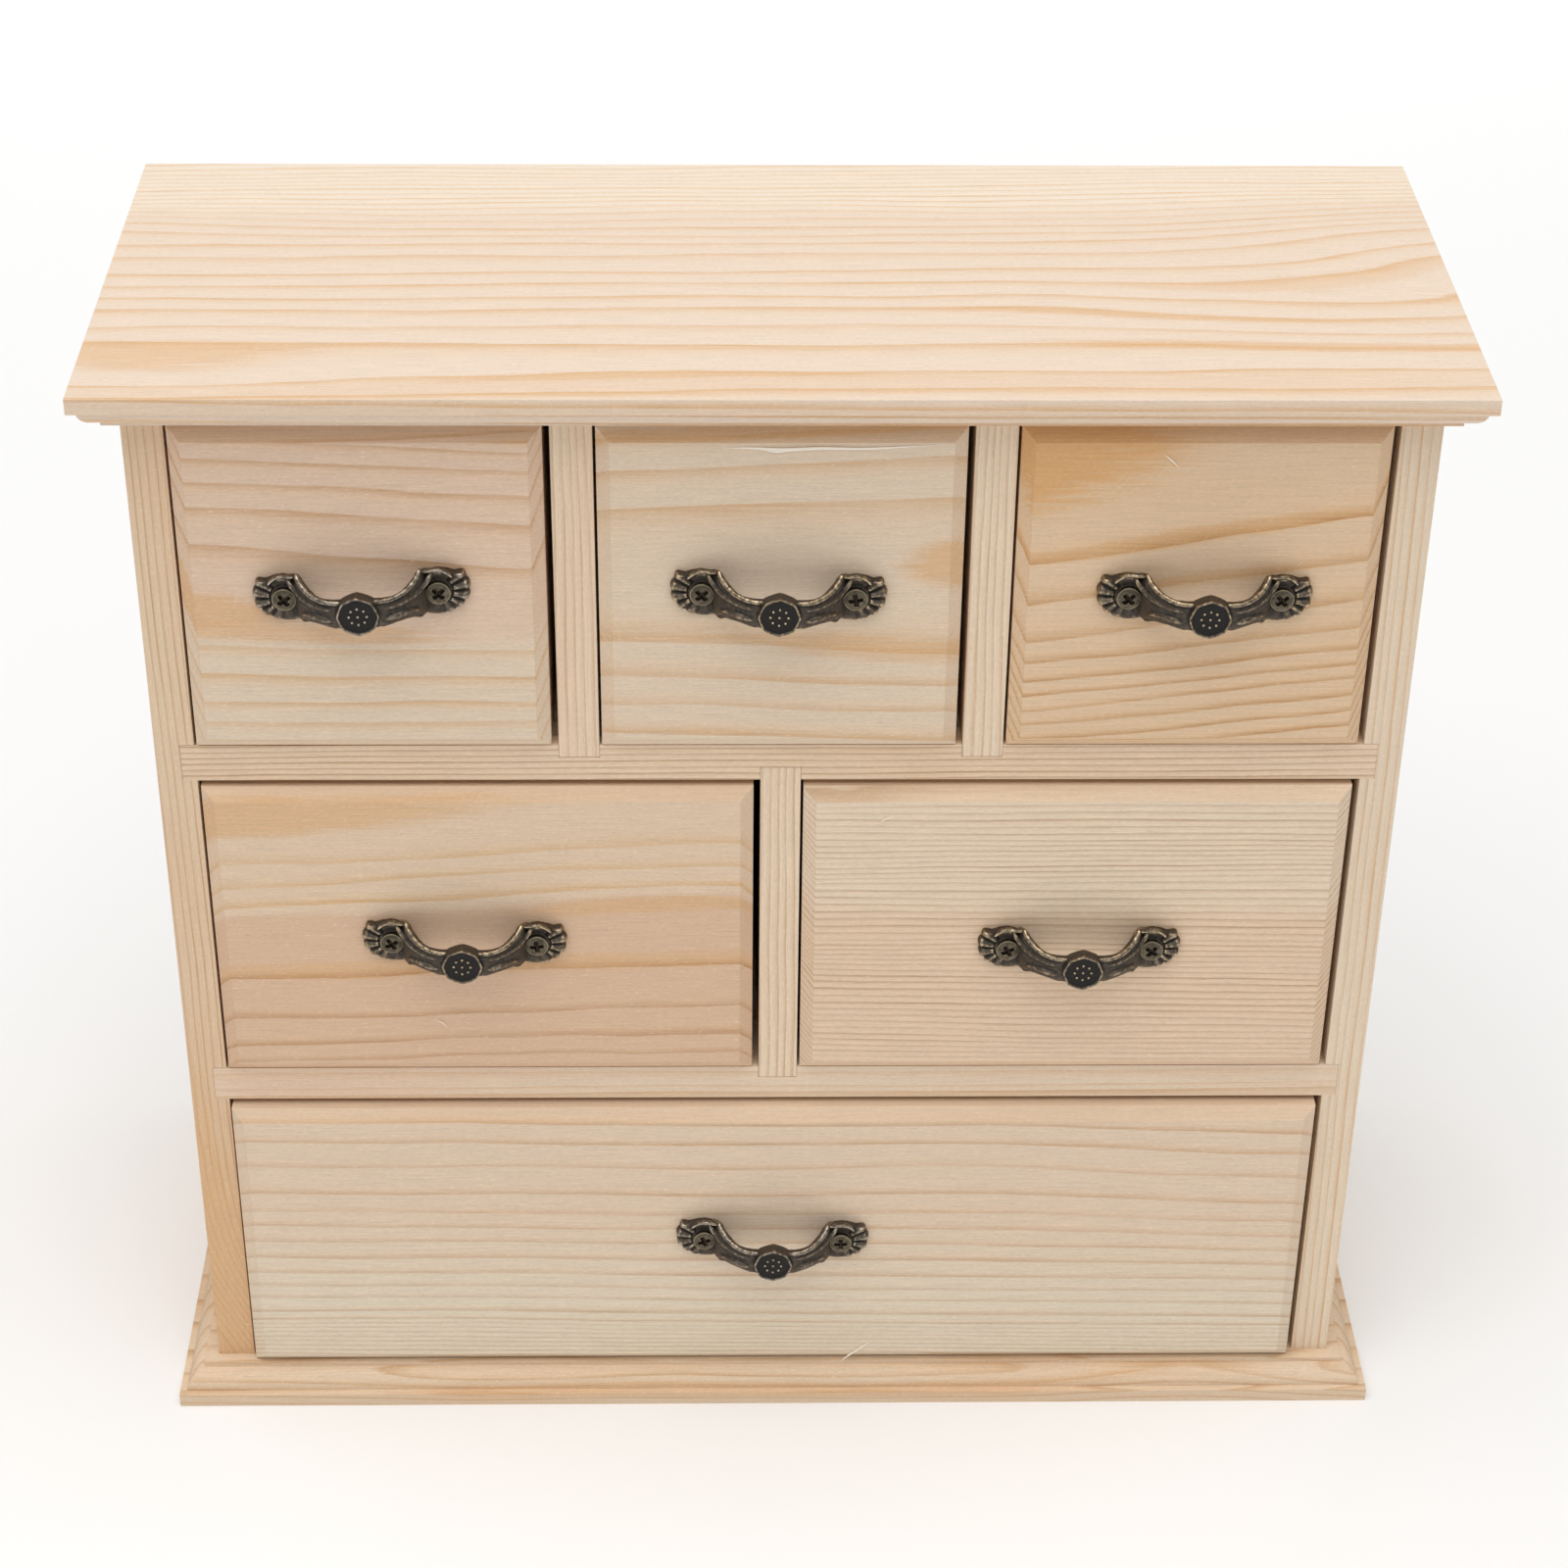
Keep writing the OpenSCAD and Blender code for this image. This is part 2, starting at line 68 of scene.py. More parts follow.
# Studio
# A pale floor that the chest stands on, weak white light from all round, and a very large soft lamp
# overhead, whose light the floor throws back up on the fronts, the sides and the back. A second lamp
# with a narrow beam keeps the far floor white.
FLOOR_HALF = 4.0
FLOOR_PALE = (0.95, 0.947, 0.942, 1)
FLOOR_ROUGHNESS = 0.8
ROOM_LIGHT = 0.335
CHEST_MIDDLE = (0, 0, 0.13)
OVERHEAD_LAMP = dict(place=(-0.2, -0.8, 3.6), target=CHEST_MIDDLE, size=4.2, watts=142)
FLOOR_LAMP = dict(place=(0, 2.4, 2.6), target=(0, 2.4, 0), size=1.8, watts=16, spread=60)


def set_inputs(tree, node, inputs):
    """Sets each named input of a shader node to a value, or links it to the socket that is given."""
    for name, value in inputs.items():
        if isinstance(value, bpy.types.NodeSocket):
            tree.links.new(value, node.inputs[name])
        else:
            node.inputs[name].default_value = value


def shade(tree, kind, inputs=None, **settings):
    """A shader node of this kind with its settings and inputs; gives back its first output."""
    node = tree.nodes.new("ShaderNode" + kind)
    for name, value in settings.items():
        setattr(node, name, value)
    set_inputs(tree, node, inputs or {})
    return node.outputs[0]


def new_material(name):
    """A material with an empty principled shader; gives back the material, its tree and the shader."""
    material = bpy.data.materials.new(name)
    material.use_nodes = True
    tree = material.node_tree
    return material, tree, tree.nodes["Principled BSDF"]


def soft_lamp(name, place, target, size, watts, spread=180):
    """A square area lamp at a place, turned to face a target; spread is the whole angle of its beam."""
    lamp = bpy.data.lights.new(name, "AREA")
    lamp.spread = math.radians(spread)
    lamp.size = size
    lamp.energy = watts
    holder = bpy.data.objects.new(name, lamp)
    bpy.context.scene.collection.objects.link(holder)
    holder.location = place
    holder.rotation_euler = (Vector(target) - Vector(place)).to_track_quat("-Z", "Y").to_euler()


bpy.context.scene.view_settings.view_transform = "Standard"
room = bpy.data.worlds.new("room")
room.use_nodes = True
bpy.context.scene.world = room
room.node_tree.nodes["Background"].inputs["Color"].default_value = (1, 1, 1, 1)
room.node_tree.nodes["Background"].inputs["Strength"].default_value = ROOM_LIGHT

soft_lamp("overhead_lamp", **OVERHEAD_LAMP)
soft_lamp("floor_lamp", **FLOOR_LAMP)

floor_mesh = bpy.data.meshes.new("floor")
floor_corners = [(-1, -1, 0), (1, -1, 0), (1, 1, 0), (-1, 1, 0)]
floor_mesh.from_pydata([Vector(c) * FLOOR_HALF for c in floor_corners], [], [(0, 1, 2, 3)])
floor = bpy.data.objects.new("floor", floor_mesh)
bpy.context.scene.collection.objects.link(floor)
floor_material, _, floor_shader = new_material("pale_floor")
floor_shader.inputs["Base Color"].default_value = FLOOR_PALE
floor_shader.inputs["Roughness"].default_value = FLOOR_ROUGHNESS
floor_mesh.materials.append(floor_material)

# Top board
# A raw pine board, flat-sawn, with a nose, a step and a quarter round cut along its front and ends. Its
# growth rings lie close together at the back and wide apart at the front. It is dowelled to the sides.
CREAM = (0.81, 0.66, 0.50)
PEACH = (0.805, 0.60, 0.445)
GOLDEN = (0.79, 0.53, 0.30)
LATE_WOOD = (0.62, 0.38, 0.20)
AMBER = (0.72, 0.42, 0.19)
RESIN_BROWN = (0.30, 0.17, 0.08)
LOOSE_FIBRE = (0.93, 0.83, 0.69)
AXIS = {"X": 0, "Y": 1, "Z": 2}
FIBRE_MM = (9, 0.32, 0.32)
FUZZ_MM = (1.1, 0.24, 0.24)
FEATHER_MM = (30, 0.6, 0.6)
PATCHY_MM = (45, 6, 6)
CLOUD_MM = (80, 16, 16)
RAGGED_MM = (14, 0.8, 0.8)
DASH_MM = (3.0, 0.16, 0.16)
SANDING_MM = (0.22, 9, 3)
SANDING_SLANT = 1.4
SEED_SHIFT_MM = 37.0
LATE_CURVE = 1.4
GOLD_REACH = 0.55
FIBRE_SHADE, FUZZ_SHADE = 0.28, 0.26
DASH_SHARE, MARK_SHARE, FLECK_SHARE, END_CUT_SHARE = 0.35, 0.5, 0.6, 0.14
WOOD_GLOSS = 0.28
BOARD_EDGE_MM = 0.5


def calc(tree, operation, a, b=0.0, c=0.0):
    """One arithmetic step on numbers or sockets."""
    return shade(tree, "Math", {0: a, 1: b, 2: c}, operation=operation)


def stretch(tree, vector, lengths):
    """The vector with each of its parts divided by a length."""
    parts = [1 / length for length in lengths]
    return shade(tree, "VectorMath", {0: vector, 1: parts}, operation="MULTIPLY")


def noise(tree, vector, lengths, detail=1.0):
    """Smooth noise from 0 to 1 whose features have the given lengths along the three axes."""
    inputs = {"Vector": stretch(tree, vector, lengths), "Scale": 1.0, "Detail": detail}
    return shade(tree, "TexNoise", inputs)


def ease(tree, value, low, high, start=0.0, end=1.0):
    """A smooth step: start below low, end above high."""
    limits = {"Value": value, "From Min": low, "From Max": high, "To Min": start, "To Max": end}
    return shade(tree, "MapRange", limits, interpolation_type="SMOOTHSTEP")


def hump(tree, along, across, place):
    """A rounded hump, 1 at its middle: exp(-(a^2 + b^2)), with a and b in half lengths from the middle."""
    along_mid, across_mid, half_along, half_across = place
    a = calc(tree, "DIVIDE", calc(tree, "SUBTRACT", along, along_mid), half_along)
    b = calc(tree, "DIVIDE", calc(tree, "SUBTRACT", across, across_mid), half_across)
    square = calc(tree, "ADD", calc(tree, "MULTIPLY", a, a), calc(tree, "MULTIPLY", b, b))
    return calc(tree, "EXPONENT", calc(tree, "MULTIPLY", square, -1.0))


def object_place(tree):
    """Where each point lies in its piece's own frame, in metres."""
    return tree.nodes.new("ShaderNodeTexCoord").outputs["Object"]


def raised(tree, height, strength, distance):
    """The normal of a surface that is raised by a height."""
    return shade(tree, "Bump", {"Height": height, "Strength": strength, "Distance": distance})


def grey_ramp(tree, value, stops, interpolation="LINEAR"):
    """A grey that follows a value from 0 to 1 through stops, each a place and a level, in rising order."""
    node = tree.nodes.new("ShaderNodeValToRGB")
    node.color_ramp.interpolation = interpolation
    elements = node.color_ramp.elements
    for i, (at, level) in enumerate(stops):
        stop = elements[i] if i < 2 else elements.new(at)
        stop.position, stop.color = at, (level, level, level, 1)
    tree.links.new(value, node.inputs[0])
    return node.outputs[0]


def mix_colour(tree, share, first, second, blend="MIX"):
    """The second colour laid over the first by a share."""
    colours = [c if isinstance(c, bpy.types.NodeSocket) else (*c, 1) for c in (first, second)]
    node = tree.nodes.new("ShaderNodeMix")
    node.data_type = "RGBA"
    node.blend_type = blend
    node.clamp_factor = True
    set_inputs(tree, node, {0: share, 6: colours[0], 7: colours[1]})
    return node.outputs[2]


def pine(name, node, axes, lines, lean=0.0, slope=(0.0, 0.0), swells=(), patches=(), wave=0.8,
         wave_length=70, light=CREAM, warm=PEACH, tint=None, late=LATE_WOOD, late_light=None, contrast=1.0,
         late_share=0.4, late_limit=3.5, gold_share=0.6, luck_share=0.45, heart=-1e3, rings_between=1,
         face_high=False, chamfer=0.0, seed=0.0):
    """Raw pine, drawn as growth rings that run through the whole board.

    axes names the grain axis, the axis across the face and the axis into the board. A ring is a sheet that
    leaves the face at a height from lines and climbs by lean for each millimetre into the board. Height
    also changes along the grain by slope, bottom and top, by rounded swells and by smooth waves. Within a
    ring, wood darkens slowly to its late wood and stops sharply, away from the heart of the log; the late
    wood takes a share of the ring up to a limit in millimetres. The tint turns from light to warm, and the
    late wood from late_light to late, between two heights, or in clouds. Patches are amber by place: most
    are stains, but the long bands along the top edges of two drawer fronts are painted shade. chamfer is
    the share of amber painted on faces that look up, as painted shade under the board above them. Fine
    stretched noise gives fibres, pale flecks, sanding marks and short resin dashes.
    """
    low, high = (np.array(corner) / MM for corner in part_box(node))
    grain, across, into = (AXIS[a] for a in axes)
    origin = np.zeros(3)
    origin[grain] = (low[grain] + high[grain]) / 2
    origin[across] = low[across]
    origin[into] = high[into] if face_high else low[into]
    height = high[across] - low[across]

    material, tree, shader = new_material(name)
    place = tree.nodes.new("ShaderNodeTexCoord")
    metric = shade(tree, "VectorMath", {0: place.outputs["Object"], 1: [1 / MM] * 3, 2: list(-origin)},
                   operation="MULTIPLY_ADD")
    parts = tree.nodes.new("ShaderNodeSeparateXYZ")
    tree.links.new(metric, parts.inputs[0])
    g, h, d = (parts.outputs[i] for i in (grain, across, into))
    board = shade(tree, "CombineXYZ", {0: g, 1: h, 2: calc(tree, "ADD", d, SEED_SHIFT_MM * seed)})

    # Height at which the ring here leaves the face
    steep = calc(tree, "MULTIPLY_ADD", h, (slope[1] - slope[0]) / height, slope[0])
    ring_h = calc(tree, "SUBTRACT", h, calc(tree, "MULTIPLY", g, steep))
    ring_h = calc(tree, "SUBTRACT", ring_h, calc(tree, "MULTIPLY", d, lean))
    for *spot, rise in swells:
        ring_h = calc(tree, "MULTIPLY_ADD", hump(tree, g, h, spot), -rise, ring_h)
    long_wave = noise(tree, board, (wave_length, wave_length / 4, wave_length / 4), 1.0)
    short_wave = noise(tree, board, (wave_length / 6, 2.0, 2.0), 2.0)
    ring_h = calc(tree, "ADD", ring_h, calc(tree, "MULTIPLY_ADD", long_wave, 4 * wave, -2 * wave))
    ring_h = calc(tree, "ADD", ring_h, calc(tree, "MULTIPLY_ADD", short_wave, wave / 2, -wave / 4))

    # Count of rings up to that height: even steps between the lines, and at the end spacing past them.
    # rings_between is 1 where each line is a ring, and more where several rings lie between two lines
    span, last = lines[-1] - lines[0], len(lines) - 1
    places = [(line - lines[0]) / span for line in lines]
    share = calc(tree, "DIVIDE", calc(tree, "SUBTRACT", ring_h, lines[0]), span)
    counted = grey_ramp(tree, share, [(at, i / last) for i, at in enumerate(places)])
    spacing = grey_ramp(tree, share, zip(places, np.diff(lines) / span), "CONSTANT")
    ring_width = calc(tree, "MULTIPLY", spacing, span / rings_between)
    below = calc(tree, "MINIMUM", calc(tree, "SUBTRACT", ring_h, lines[0]), 0.0)
    above = calc(tree, "MAXIMUM", calc(tree, "SUBTRACT", ring_h, lines[-1]), 0.0)
    rings = calc(tree, "MULTIPLY", counted, rings_between * last)
    rings = calc(tree, "MULTIPLY_ADD", below, rings_between / (lines[1] - lines[0]), rings)
    rings = calc(tree, "MULTIPLY_ADD", above, rings_between / (lines[-1] - lines[-2]), rings)
    year = calc(tree, "FLOOR", rings)
    under_heart = calc(tree, "LESS_THAN", ring_h, heart)
    season = calc(tree, "ABSOLUTE", calc(tree, "SUBTRACT", under_heart, calc(tree, "SUBTRACT", rings, year)))
    luck = shade(tree, "TexWhiteNoise", {"W": calc(tree, "ADD", year, 11.3 * seed + 0.5)},
                 noise_dimensions="1D")
    patchy = ease(tree, noise(tree, board, PATCHY_MM, 2.0), 0.3, 0.7, 0.7, 1.0)
    feather = ease(tree, noise(tree, board, FEATHER_MM, 3.0), 0.3, 0.7, 0.75, 1.35)
    fate = calc(tree, "MULTIPLY", calc(tree, "MULTIPLY_ADD", luck, luck_share, 1 - luck_share), patchy)
    fate = calc(tree, "MULTIPLY", fate, feather)
    to_line = calc(tree, "MULTIPLY", calc(tree, "SUBTRACT", 1.0, season), ring_width)
    late_width = calc(tree, "MINIMUM", calc(tree, "MULTIPLY", ring_width, late_share), late_limit)
    fade = calc(tree, "MINIMUM", calc(tree, "MULTIPLY", ring_width, 0.1), 0.35)
    fate = calc(tree, "MULTIPLY", fate, shade(tree, "MapRange", {"Value": to_line, "From Max": fade}))
    early = calc(tree, "DIVIDE", to_line, late_width)
    rise = calc(tree, "MAXIMUM", calc(tree, "SUBTRACT", 1.0, early), 0.0)
    dark = calc(tree, "MULTIPLY", calc(tree, "POWER", rise, LATE_CURVE), fate)
    dawn = calc(tree, "MAXIMUM", calc(tree, "MULTIPLY_ADD", early, -GOLD_REACH, 1.0), 0.0)
    golden = calc(tree, "MULTIPLY", dawn, fate)

    # Colour
    cloud = noise(tree, board, CLOUD_MM, 1.0)
    blush = ease(tree, ring_h, *tint) if tint else ease(tree, cloud, 0.35, 0.7)
    colour = mix_colour(tree, blush, light, warm)
    colour = mix_colour(tree, calc(tree, "MULTIPLY", golden, gold_share), colour, GOLDEN)
    late_colour = mix_colour(tree, blush, late_light or late, late)
    colour = mix_colour(tree, calc(tree, "MULTIPLY", dark, contrast), colour, late_colour)
    fibre = noise(tree, board, FIBRE_MM, 3.0)
    ragged = calc(tree, "MULTIPLY_ADD", noise(tree, board, RAGGED_MM, 3.0), 1.8, 0.1)
    for *spot, strength in patches:
        stain = calc(tree, "MULTIPLY", hump(tree, g, ring_h, spot), ragged)
        stain = calc(tree, "MULTIPLY", ease(tree, stain, 0.15, 0.65), strength)
        colour = mix_colour(tree, stain, colour, AMBER)
    fuzz = noise(tree, board, FUZZ_MM, 2.0)
    grey = calc(tree, "MULTIPLY_ADD", fuzz, FUZZ_SHADE, 1 - (FIBRE_SHADE + FUZZ_SHADE) / 2)
    grey = calc(tree, "MULTIPLY_ADD", fibre, FIBRE_SHADE, grey)
    even_grey = shade(tree, "CombineColor", {0: grey, 1: grey, 2: grey})
    colour = mix_colour(tree, 1.0, colour, even_grey, "MULTIPLY")
    dash = ease(tree, noise(tree, board, DASH_MM, 1.0), 0.70, 0.80)
    colour = mix_colour(tree, calc(tree, "MULTIPLY", dash, DASH_SHARE), colour, RESIN_BROWN)
    with_slant = calc(tree, "MULTIPLY_ADD", h, SANDING_SLANT, g)
    over_slant = calc(tree, "MULTIPLY_ADD", g, SANDING_SLANT, calc(tree, "MULTIPLY", h, -1.0))
    sanding = shade(tree, "CombineXYZ", {0: over_slant, 1: with_slant, 2: d})
    mark = ease(tree, noise(tree, sanding, SANDING_MM, 1.0), 0.68, 0.80)
    fleck = ease(tree, fuzz, 0.66, 0.80)
    pale = calc(tree, "MULTIPLY_ADD", mark, MARK_SHARE, calc(tree, "MULTIPLY", fleck, FLECK_SHARE))
    colour = mix_colour(tree, pale, colour, LOOSE_FIBRE)
    normal = tree.nodes.new("ShaderNodeSeparateXYZ")
    tree.links.new(place.outputs["Normal"], normal.inputs[0])
    end_cut = ease(tree, calc(tree, "ABSOLUTE", normal.outputs[grain]), 0.3, 0.95)
    colour = mix_colour(tree, calc(tree, "MULTIPLY", end_cut, END_CUT_SHARE), colour, late)
    if chamfer:
        # Faces that look up, the top chamfers, get amber: painted shade under the board above them
        painted_shade_up = ease(tree, normal.outputs["Z"], 0.2, 0.6, 0.0, chamfer)
        colour = mix_colour(tree, painted_shade_up, colour, AMBER)

    # Surface: fibres are raised a little, and late wood is smoother
    relief = calc(tree, "ADD", calc(tree, "MULTIPLY", fibre, 0.7), calc(tree, "MULTIPLY", fuzz, 0.5))
    bump = raised(tree, relief, 0.35, 0.0002)
    rough = calc(tree, "MULTIPLY_ADD", fibre, 0.16, calc(tree, "MULTIPLY_ADD", dark, -0.08, 0.60))
    set_inputs(tree, shader, {"Base Color": colour, "Roughness": rough, "Normal": bump})
    shader.inputs["Specular IOR Level"].default_value = WOOD_GLOSS
    return material


def ease_edges(node, width_mm, material):
    """Gives a CAD piece its material, and rounds its sharp edges as sanding does. With no width the edges
    stay as they were cut."""
    weld_reach, segments, sharpest = 1e-6, 3, math.radians(25)
    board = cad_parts[node]
    board.data.materials.clear()
    board.data.materials.append(material)
    weld = board.modifiers.new("weld", "WELD")
    weld.merge_threshold = weld_reach
    if width_mm:
        bevel = board.modifiers.new("sanded_edge", "BEVEL")
        bevel.width = width_mm * MM
        bevel.segments = segments
        bevel.limit_method = "ANGLE"
        bevel.angle_limit = sharpest
        bevel.use_clamp_overlap = True
    board.modifiers.new("flat_faces", "WEIGHTED_NORMAL").keep_sharp = False


def pine_board(node, edge_mm, name, axes, lines, **figure):
    """Makes a CAD piece a pine board with sanded edges; the figure goes to pine as it stands."""
    ease_edges(node, edge_mm, pine(name, node, axes, lines, **figure))


top_lines = (-4, 4.3, 11.7, 22.8, 31, 38.8, 43.8, 49.6, 55, 62.6, 67.7, 71.5, 75.3, 79, 82.5, 85.5, 88, 90.3,
             92.6, 95, 97, 99, 101, 103, 105.5)
top_swells = ((138, 70, 40, 17, 12.5), (140, 58, 28, 6, 2.2), (112, 34, 48, 11, -6.5), (-115, 8, 40, 8, -5),
              (-130, 75, 28, 7, 4), (-125, 22, 45, 6, 3))
top_patches = ((-120, 20, 34, 3.6, 0.45), (100, 22.6, 55, 2.6, 0.5), (-25, 10.3, 45, 1.5, 0.4),
               (60, 37.6, 50, 1.4, 0.4), (100, 48, 40, 2.0, 0.22), (0, 6, 150, 4, 0.22))
pine_board("top_board", BOARD_EDGE_MM, "pine_top", "XYZ", top_lines, lean=2.2, slope=(0.01, 0.02),
           swells=top_swells, patches=top_patches, wave=1.1, wave_length=60, light=(0.81, 0.662, 0.528),
           warm=(0.855, 0.73, 0.595), tint=(78, 88), late=(0.69, 0.41, 0.20), contrast=0.8,
           late_share=0.32, face_high=True)

# Base board
# The same moulded pine board turned over, with a broad figure in warmer wood that arches at its right end.
base_lines = (-20, -15, -11, -7, -3, 1, 5, 9, 14, 19, 25, 32, 40, 48, 56, 64, 73, 83, 94, 106)
pine_board("base_board", BOARD_EDGE_MM, "pine_base", "XYZ", base_lines, lean=3.0, slope=(0.03, 0.0),
           swells=((90, 2, 30, 10, -9), (-60, 6, 30, 12, 3)), wave=1.4, wave_length=60,
           light=(0.765, 0.60, 0.435), warm=(0.745, 0.555, 0.385), late=(0.52, 0.30, 0.14),
           patches=((70, 3, 40, 4, 0.5), (0, 14, 90, 3, 0.35)), face_high=True, seed=1)

# Side panels
# Flat-sawn pine panels with upright grain, housed for the shelves and rebated for the back. They are
# dowelled to the top and base boards. The left one's rings turn away at its front foot.
PANEL_EDGE_MM = 0.35
outer_lines = (-20, -16.5, -12, -8, -4.5, 0)
inner_lines = (43, 58, 69, 77, 83, 88, 92.5, 97, 102, 108)
left_lines = (*outer_lines, 4, 7.5, 11, 14.5, 18, 21.5, 25, 29, 34, *inner_lines)
right_lines = (*outer_lines, 4.5, 8, 12.5, 17, 23, 31, *inner_lines)
pine_board("left_side_panel", PANEL_EDGE_MM, "pine_left_side", "ZYX", left_lines, lean=2.6,
           slope=(0.02, 0.03), swells=((20, 50, 90, 12, 7), (-130, -4, 35, 14, -55)), wave=1.4,
           wave_length=90, patches=((-100, 12, 70, 35, 0.6),), light=(0.79, 0.61, 0.43),
           warm=(0.77, 0.55, 0.37), late=(0.44, 0.24, 0.10), seed=2)
pine_board("right_side_panel", PANEL_EDGE_MM, "pine_right_side", "ZYX", right_lines, lean=-2.4,
           slope=(-0.02, 0.01), swells=((-30, 46, 80, 12, -7),), wave=1.4, wave_length=90,
           light=(0.81, 0.665, 0.51), warm=(0.83, 0.69, 0.53), seed=3)

# Shelves
# Pine boards across the chest, seen from the front as narrow edges with the grain along them. They sit in
# housings in the side panels.
SHELF_EDGE_MM = 0.3
upper_lines = (-3, -1.2, 0.4, 1.7, 3.1, 4.6, 6.0, 7.3, 8.8, 10.5)
pine_board("upper_shelf", SHELF_EDGE_MM, "pine_upper_shelf", "XZY", upper_lines, lean=0.25,
           slope=(0.004, 0.006), wave=0.35, wave_length=60, light=(0.82, 0.64, 0.465),
           warm=(0.79, 0.59, 0.415), late=(0.33, 0.17, 0.07), late_share=0.5, seed=4)
lower_lines = (-8, -3, 1.5, 3, 6.8, 9, 14)
pine_board("lower_shelf", SHELF_EDGE_MM, "pine_lower_shelf", "XZY", lower_lines, lean=0.4,
           slope=(0.006, 0.0), wave=0.5, wave_length=80, contrast=0.7, seed=5)

# Dividers
# Short pine boards that stand in housings between the drawers, with upright grain on their front edges.
divider_lines = (-4, -1.5, 0.5, 2.2, 3.8, 5.2, 6.9, 8.8, 11)
for i, divider in enumerate(("upper_left_divider", "upper_right_divider", "middle_divider")):
    pine_board(divider, SHELF_EDGE_MM, "pine_" + divider, "ZXY", divider_lines, lean=0.3 - 0.25 * i,
               slope=(0.01, -0.01), wave=0.5, wave_length=50, light=(0.84, 0.695, 0.53),
               warm=(0.83, 0.64, 0.475), late=(0.44, 0.25, 0.12), contrast=0.7, late_share=0.5, seed=6 + i)

# Drawer fronts
# Six pine boards with a chamfer planed round the field. Each is cut from another place in the log, so
# each has its own figure: falling lines, broad flames, rising lines, waves, close straight lines.
# Share of amber painted on the top chamfers, which look up: painted shade under the board above them
CHAMFER_PAINTED_SHADE = 0.22
front_figures = {
    "top_left_drawer": dict(
        lines=(0.8, 6.6, 11, 16.9, 22.7, 42.4, 51.2, 56.6, 61.4, 65.5, 68.0), lean=3.2, slope=(0.0, -0.05),
        swells=((-33, 44, 30, 9, 1.5), (33, 43, 30, 9, -1.5)), wave=0.5, wave_length=36,
        # The last patch, a band along the whole top edge, is painted shade under the top board's overhang
        patches=((-36, 29.5, 22, 4.5, 0.6), (-14, 25.6, 28, 2.2, 0.5), (0, 68.5, 60, 1.4, 0.4)),
        tint=(22, 28), light=(0.77, 0.625, 0.475), warm=(0.765, 0.57, 0.425), late=(0.50, 0.25, 0.10),
        late_light=(0.67, 0.43, 0.235), late_share=0.34),
    "top_centre_drawer": dict(
        lines=(2.6, 9.2, 15.4, 22.9, 41, 53.8, 61.8, 68.5), lean=-0.6, slope=(-0.02, 0.05), heart=41,
        swells=((-33, 20, 30, 9, 1.6), (33, 20, 30, 9, -2.0), (-12, 9, 14, 4, 0.7)),
        # The last patch, a band along the whole top edge, is painted shade under the top board's overhang
        patches=((33, 40.5, 10, 5.0, 0.65), (22, 23.5, 24, 2.6, 0.4), (0, 68.8, 60, 1.6, 0.5)),
        wave=0.6, wave_length=50, light=(0.775, 0.63, 0.478), warm=(0.77, 0.615, 0.463),
        late=(0.60, 0.34, 0.15), contrast=0.75, late_share=0.36, late_limit=5.5),
    "top_right_drawer": dict(
        lines=(1.4, 4.8, 8.3, 11.8, 15, 18.4, 22.6, 28, 36.2, 45, 95), lean=3.0, slope=(0.105, 0.19),
        heart=100, wave=0.7, wave_length=36,
        patches=((-38, 70, 36, 13, 1.0), (-6, 46.5, 40, 1.8, 0.5), (6, 37, 18, 1.5, 0.4)),
        light=(0.77, 0.565, 0.38), warm=(0.76, 0.55, 0.36), late=(0.46, 0.21, 0.06), late_share=0.45,
        late_limit=3.4, gold_share=0.85),
    "middle_left_drawer": dict(
        lines=(-2, 3.6, 8.0, 14.8, 25, 43.5, 48, 53.2, 95), lean=-1.6, slope=(0.02, 0.06), heart=100,
        wave=1.1, wave_length=44,
        patches=((-52, 66, 58, 5.0, 0.6), (40, 39.5, 32, 1.8, 0.45), (0, 27, 70, 2.5, 0.4)),
        tint=(42.6, 40.2), light=(0.775, 0.595, 0.43), warm=(0.725, 0.505, 0.345),
        late=(0.42, 0.19, 0.075), late_light=(0.66, 0.40, 0.17), late_share=0.36, late_limit=2.6),
    "middle_right_drawer": dict(
        lines=(-2, 9, 22.5, 33, 47, 57, 70), rings_between=8, lean=1.2, slope=(-0.02, 0.005), wave=0.7,
        wave_length=60, luck_share=0.55, light=(0.835, 0.68, 0.515), warm=(0.81, 0.615, 0.44),
        tint=(43, 37), late=(0.38, 0.215, 0.11), contrast=0.82, gold_share=0.25, late_share=0.55),
    "bottom_drawer": dict(
        lines=(0.2, 1.5, 2.7, 3.9, 5.1, 6.3, 7.6, 8.9, 10.2, 11.4, 13.7, 17.5, 20.8, 24.4, 28.6, 32.9, 37,
               41, 46, 53, 59.4, 64.7, 80), lean=-1.0, slope=(-0.012, -0.015), heart=100,
        swells=((45, 52, 30, 16, 1.7), (110, 45, 40, 25, -1.2)), wave=0.45, wave_length=50,
        tint=(12, 45), light=(0.79, 0.685, 0.54), warm=(0.78, 0.617, 0.465), late=(0.56, 0.33, 0.17),
        late_light=(0.48, 0.29, 0.155), contrast=0.82, late_share=0.4, late_limit=1.7, gold_share=0.4),
}
for i, (drawer, figure) in enumerate(front_figures.items()):
    pine_board(drawer + "_front", PANEL_EDGE_MM, "pine_" + drawer + "_front", "XZY", chamfer=CHAMFER_PAINTED_SHADE,
               seed=10 + i, **figure)

